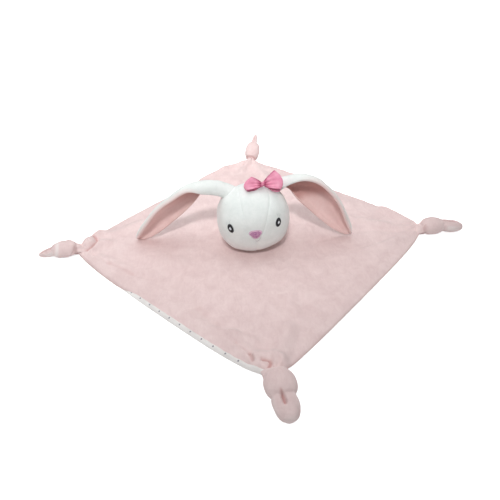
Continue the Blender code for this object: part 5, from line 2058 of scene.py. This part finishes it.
@dataclass
class Bow:
    """Satin ribbon bow with two open loops and a band round its middle."""

    head: Head
    centre: tuple = (0.01128, -0.00664, 0.07921)
    tilt_deg: float = 5.0
    lean_deg: float = 36.0
    wrap_half_width: float = 0.0024
    wrap_half_height: float = 0.0029
    wrap_half_depth: float = 0.0026
    ribbon: float = 0.00045
    pinch: float = 0.0025
    half_depth: float = 0.0036
    reaches: tuple = (0.0197, 0.0212)
    tops: tuple = (0.0089, 0.0126)
    top_setbacks: tuple = (0.0088, 0.0070)
    bottoms: tuple = (0.0044, 0.0081)
    bottom_setbacks: tuple = (0.0026, 0.0037)
    flare: float = 0.8
    fold: float = 0.35
    back_drop: float = 0.42
    steps: int = 88
    rows: int = 30

    def axes(self) -> tuple:
        """Axes of the bow: along its loops, up its face and out of its face."""
        tilt, lean = math.radians(self.tilt_deg), math.radians(self.lean_deg)
        across = np.array([1.0, 0.0, 0.0])
        up = np.array([0.0, math.sin(lean), math.cos(lean)])
        out = np.array([0.0, -math.cos(lean), math.sin(lean)])
        along = across * math.cos(tilt) + up * math.sin(tilt)
        return along, up * math.cos(tilt) - across * math.sin(tilt), out

    def loop_layer(self, side: Side, inset: float) -> np.ndarray:
        """Grid of points round one loop, some way inside its outer face."""
        along, rise, out = self.axes()
        number = 0 if side is Side.LEFT else 1
        start = self.wrap_half_width * 0.55 + inset
        level = np.linspace(-1.0, 1.0, self.rows)[:, None]
        turn = whole_turn(self.steps)[None, :]
        upper = level > 0
        height = np.where(upper, self.tops[number], self.bottoms[number])
        setback = np.where(upper, self.top_setbacks[number], self.bottom_setbacks[number])
        reach = self.reaches[number] - setback * level * level - inset
        share = (1.0 - np.cos(turn)) / 2
        flare = self.pinch + (height - self.pinch) * share**self.flare
        rear = np.maximum(0.0, -np.sin(turn))
        flare = flare * (1.0 + np.where(upper, 0.02, self.back_drop) * rear * smooth_step(share * 2))
        fold = self.fold + (1.0 - self.fold) * share
        depth = (self.half_depth - inset) * np.sin(turn) * fold
        pleat = 0.0007 * np.cos(3.4 * math.pi * level + 0.7) * (1.0 - share) ** 2 * np.sign(np.sin(turn))
        hollow = -0.0006 * np.exp(-(((share - 0.55) / 0.25) ** 2))
        hollow = hollow * np.maximum(np.sin(turn), 0.0) * (1 - level**2)
        depth = depth + pleat * (1.0 if inset == 0 else 0.85) + hollow
        run = side.value * (start + (reach - start) * share)
        grid = np.array(self.centre) + along * run[..., None] + rise * (level * flare)[..., None]
        return grid + out * depth[..., None]

    def build_loop(self, side: Side, finish: bpy.types.Material) -> bpy.types.Object:
        """Make one open loop of ribbon."""
        outer, inner = self.loop_layer(side, 0.0), self.loop_layer(side, self.ribbon)
        piece = cloth(f"bow_ribbon_{side.word}", outer, inner, finish, wrap=True, steps=2)
        along, rise, out = self.axes()
        offset = mesh_points(piece) - np.array(self.centre)
        flat = np.stack([offset @ rise, offset @ along, offset @ out], axis=-1)
        point_places(piece, "flat", flat)
        level = np.repeat(np.abs(np.linspace(-1.0, 1.0, self.rows)), self.steps)
        edge = np.ones(len(offset))
        edge[: 2 * len(level)] = np.tile(smooth_step((level - 0.86) / 0.14) ** 2, 2)
        # Painted shade in the pleats at the pinch, and darker lines along the ribbon's long edges
        pinched = 1.0 - smooth_step((np.abs(flat[:, 1]) - 0.002) / 0.005)
        point_values(piece, "edge", np.maximum(edge * 0.85, 0.8 * pinched))
        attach(piece, "head")
        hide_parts(f"bow_loop_{side.word}")
        return piece

    def build_wrap(self, finish: bpy.types.Material) -> bpy.types.Object:
        """Make the twisted band round the middle, with small folds along it."""
        along, rise, out = self.axes()
        rings = []
        turns = whole_turn(72)
        for tilt in np.linspace(-math.radians(84.0), math.radians(84.0), 34):
            side = self.wrap_half_width * math.sin(tilt)
            round_share = math.cos(tilt) ** 0.45
            crease = 1.0 + 0.07 * math.sin(side * 2600.0) + 0.05 * np.cos(3 * turns + side * 900.0)
            up = self.wrap_half_height * round_share * crease * np.sin(turns)
            deep = self.wrap_half_depth * round_share * crease * np.cos(turns) * 1.05
            lean = side + 0.0010 * np.sin(turns)
            spread = np.array(self.centre) + np.outer(lean, along)
            rings.append(spread + np.outer(up, rise) + np.outer(deep, out))
        points, faces = tube(np.array(rings), 0)
        piece = new_piece("bow_middle_band", points, faces, finish)
        offset = mesh_points(piece) - np.array(self.centre)
        flat = np.stack([offset @ along, offset @ rise, offset @ out], axis=-1)
        point_places(piece, "flat", flat)
        # Painted shade over the band, deepest in its small folds and towards its ends
        folds = 0.5 + 0.5 * np.sin(flat[:, 1] * 3200.0 + flat[:, 0] * 1500.0)
        ends = np.clip(np.abs(flat[:, 0]) / self.wrap_half_width - 0.4, 0.0, 1.0)
        point_values(piece, "edge", np.clip(0.15 + 0.5 * folds + ends, 0.0, 1.0))
        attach(piece, "head")
        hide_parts("bow_centre_wrap")
        return piece

    def build(self, wardrobe: Wardrobe) -> list:
        """Build the loops and the band.

        Args:
            wardrobe: The finishes.

        Returns:
            The pieces.
        """
        loops = [self.build_loop(side, wardrobe.satin) for side in Side]
        return loops + [self.build_wrap(wardrobe.satin)]


# ---------------------------------------------------------------- studio


@dataclass
class Studio:
    """Plain white floor, a far lamp in front, a wide soft one above and the camera."""

    floor_size: float = 6.0
    camera_place: tuple = (-0.0303, -0.4725, 0.3437)
    target: tuple = (-0.00337, -0.01186, 0.0)
    roll_deg: float = -1.139
    lens_mm: float = 37.44
    world_level: float = 0.25
    key_watts: float = 340.0
    key_place: tuple = (-0.36, -2.35, 3.06)
    key_aim: tuple = (-0.03, 0.24, 0.0)
    key_radius: float = 0.24
    key_cone_deg: float = 13.8
    fill_watts: float = 4.4
    fill_place: tuple = (-0.12, 0.30, 0.74)
    fill_size: float = 1.2

    def build_floor(self) -> None:
        """Lay the floor."""
        half = self.floor_size / 2
        mesh = bpy.data.meshes.new("studio_floor")
        corners = [(-half, -half, 0.0), (half, -half, 0.0), (half, half, 0.0), (-half, half, 0.0)]
        mesh.from_pydata([(x, y, -0.0002) for x, y, _ in corners], [], [(0, 1, 2, 3)])
        mesh.materials.append(FloorFinish("white_paper", shade(242, 241, 241)).build())
        floor = bpy.data.objects.new("studio_floor", mesh)
        bpy.context.scene.collection.objects.link(floor)

    def build_light(self) -> None:
        """Light the world evenly, white where it is seen, and hang the two lamps."""
        world = bpy.data.worlds.new("studio_world")
        world.use_nodes = True
        tree = world.node_tree
        level = tree.nodes.new("ShaderNodeMapRange")
        level.inputs["To Min"].default_value = self.world_level
        tree.links.new(seen_rays(tree), level.inputs["Value"])
        background = tree.nodes["Background"]
        background.inputs["Color"].default_value = WHITE
        tree.links.new(level.outputs["Result"], background.inputs["Strength"])
        bpy.context.scene.world = world
        key = bpy.data.lights.new("key_lamp", "SPOT")
        key.energy = self.key_watts
        key.spot_size = math.radians(self.key_cone_deg)
        key.spot_blend = 1.0
        key.shadow_soft_size = self.key_radius
        self.hang(key, self.key_place, self.key_aim)
        fill = bpy.data.lights.new("fill_lamp", "AREA")
        fill.energy = self.fill_watts
        fill.size = self.fill_size
        fill.shape = "DISK"
        below = np.array(self.fill_place) * (1.0, 0.99, 0.0)
        self.hang(fill, self.fill_place, tuple(below))

    def hang(self, light: bpy.types.Light, place: tuple, aim: tuple) -> None:
        """Hang a lamp that shines at one point.

        Args:
            light: The lamp.
            place: Where it hangs.
            aim: The point at which it shines.
        """
        lamp = bpy.data.objects.new(light.name, light)
        lamp.location = place
        lamp.rotation_euler = Matrix(self.facing(np.array(aim) - np.array(place))).to_euler()
        bpy.context.scene.collection.objects.link(lamp)

    @staticmethod
    def facing(forward: np.ndarray) -> list:
        """Axes, as rows of a matrix, of an object that looks along a direction."""
        forward = forward / np.linalg.norm(forward)
        right = np.cross(forward, np.array([0.0, 0.0, 1.0]))
        right /= np.linalg.norm(right)
        up = np.cross(right, forward)
        return np.stack([right, up, -forward], axis=-1).tolist()

    def build_camera(self) -> None:
        """Place the camera at the photograph's viewing angle."""
        data = bpy.data.cameras.new("camera")
        data.lens = self.lens_mm
        data.sensor_width = 36.0
        data.sensor_fit = "HORIZONTAL"
        camera = bpy.data.objects.new("camera", data)
        aim = np.array(self.target) - np.array(self.camera_place)
        turn = Matrix(self.facing(aim)) @ Matrix.Rotation(math.radians(self.roll_deg), 3, "Z")
        camera.matrix_world = Matrix.Translation(self.camera_place) @ turn.to_4x4()
        bpy.context.scene.collection.objects.link(camera)
        bpy.context.scene.camera = camera

    def build(self) -> None:
        """Build the floor, the light and the camera."""
        bpy.context.scene.view_settings.view_transform = "Standard"
        self.build_camera()
        self.build_floor()
        self.build_light()


# ---------------------------------------------------------------- whole lovey


def report(pieces: list) -> None:
    """Log each piece with its count of triangles."""
    for piece in pieces:
        triangles = sum(len(face.vertices) - 2 for face in piece.data.polygons)
        LOG.info("%s: %d triangles", piece.name, triangles)


def main() -> None:
    """Build the lovey, its finishes and its studio."""
    logging.basicConfig(level=logging.INFO, format="%(name)s: %(message)s")
    Studio().build()
    wardrobe = Wardrobe()
    threads = ThreadTree("lay_threads")
    blanket = Blanket()
    panels = blanket.build(wardrobe)
    report(panels)
    corners = [knot.build(blanket, wardrobe) for knot in knotted_corners()]
    report(corners)
    head = Head()
    report(head.build(wardrobe, threads))
    report(Face(head).build(wardrobe, threads))
    ears = [piece for ear in drooping_ears(head) for piece in ear.build(wardrobe)]
    report(ears)
    bow = Bow(head).build(wardrobe)
    report(bow)


if __name__ == "__main__":
    main()
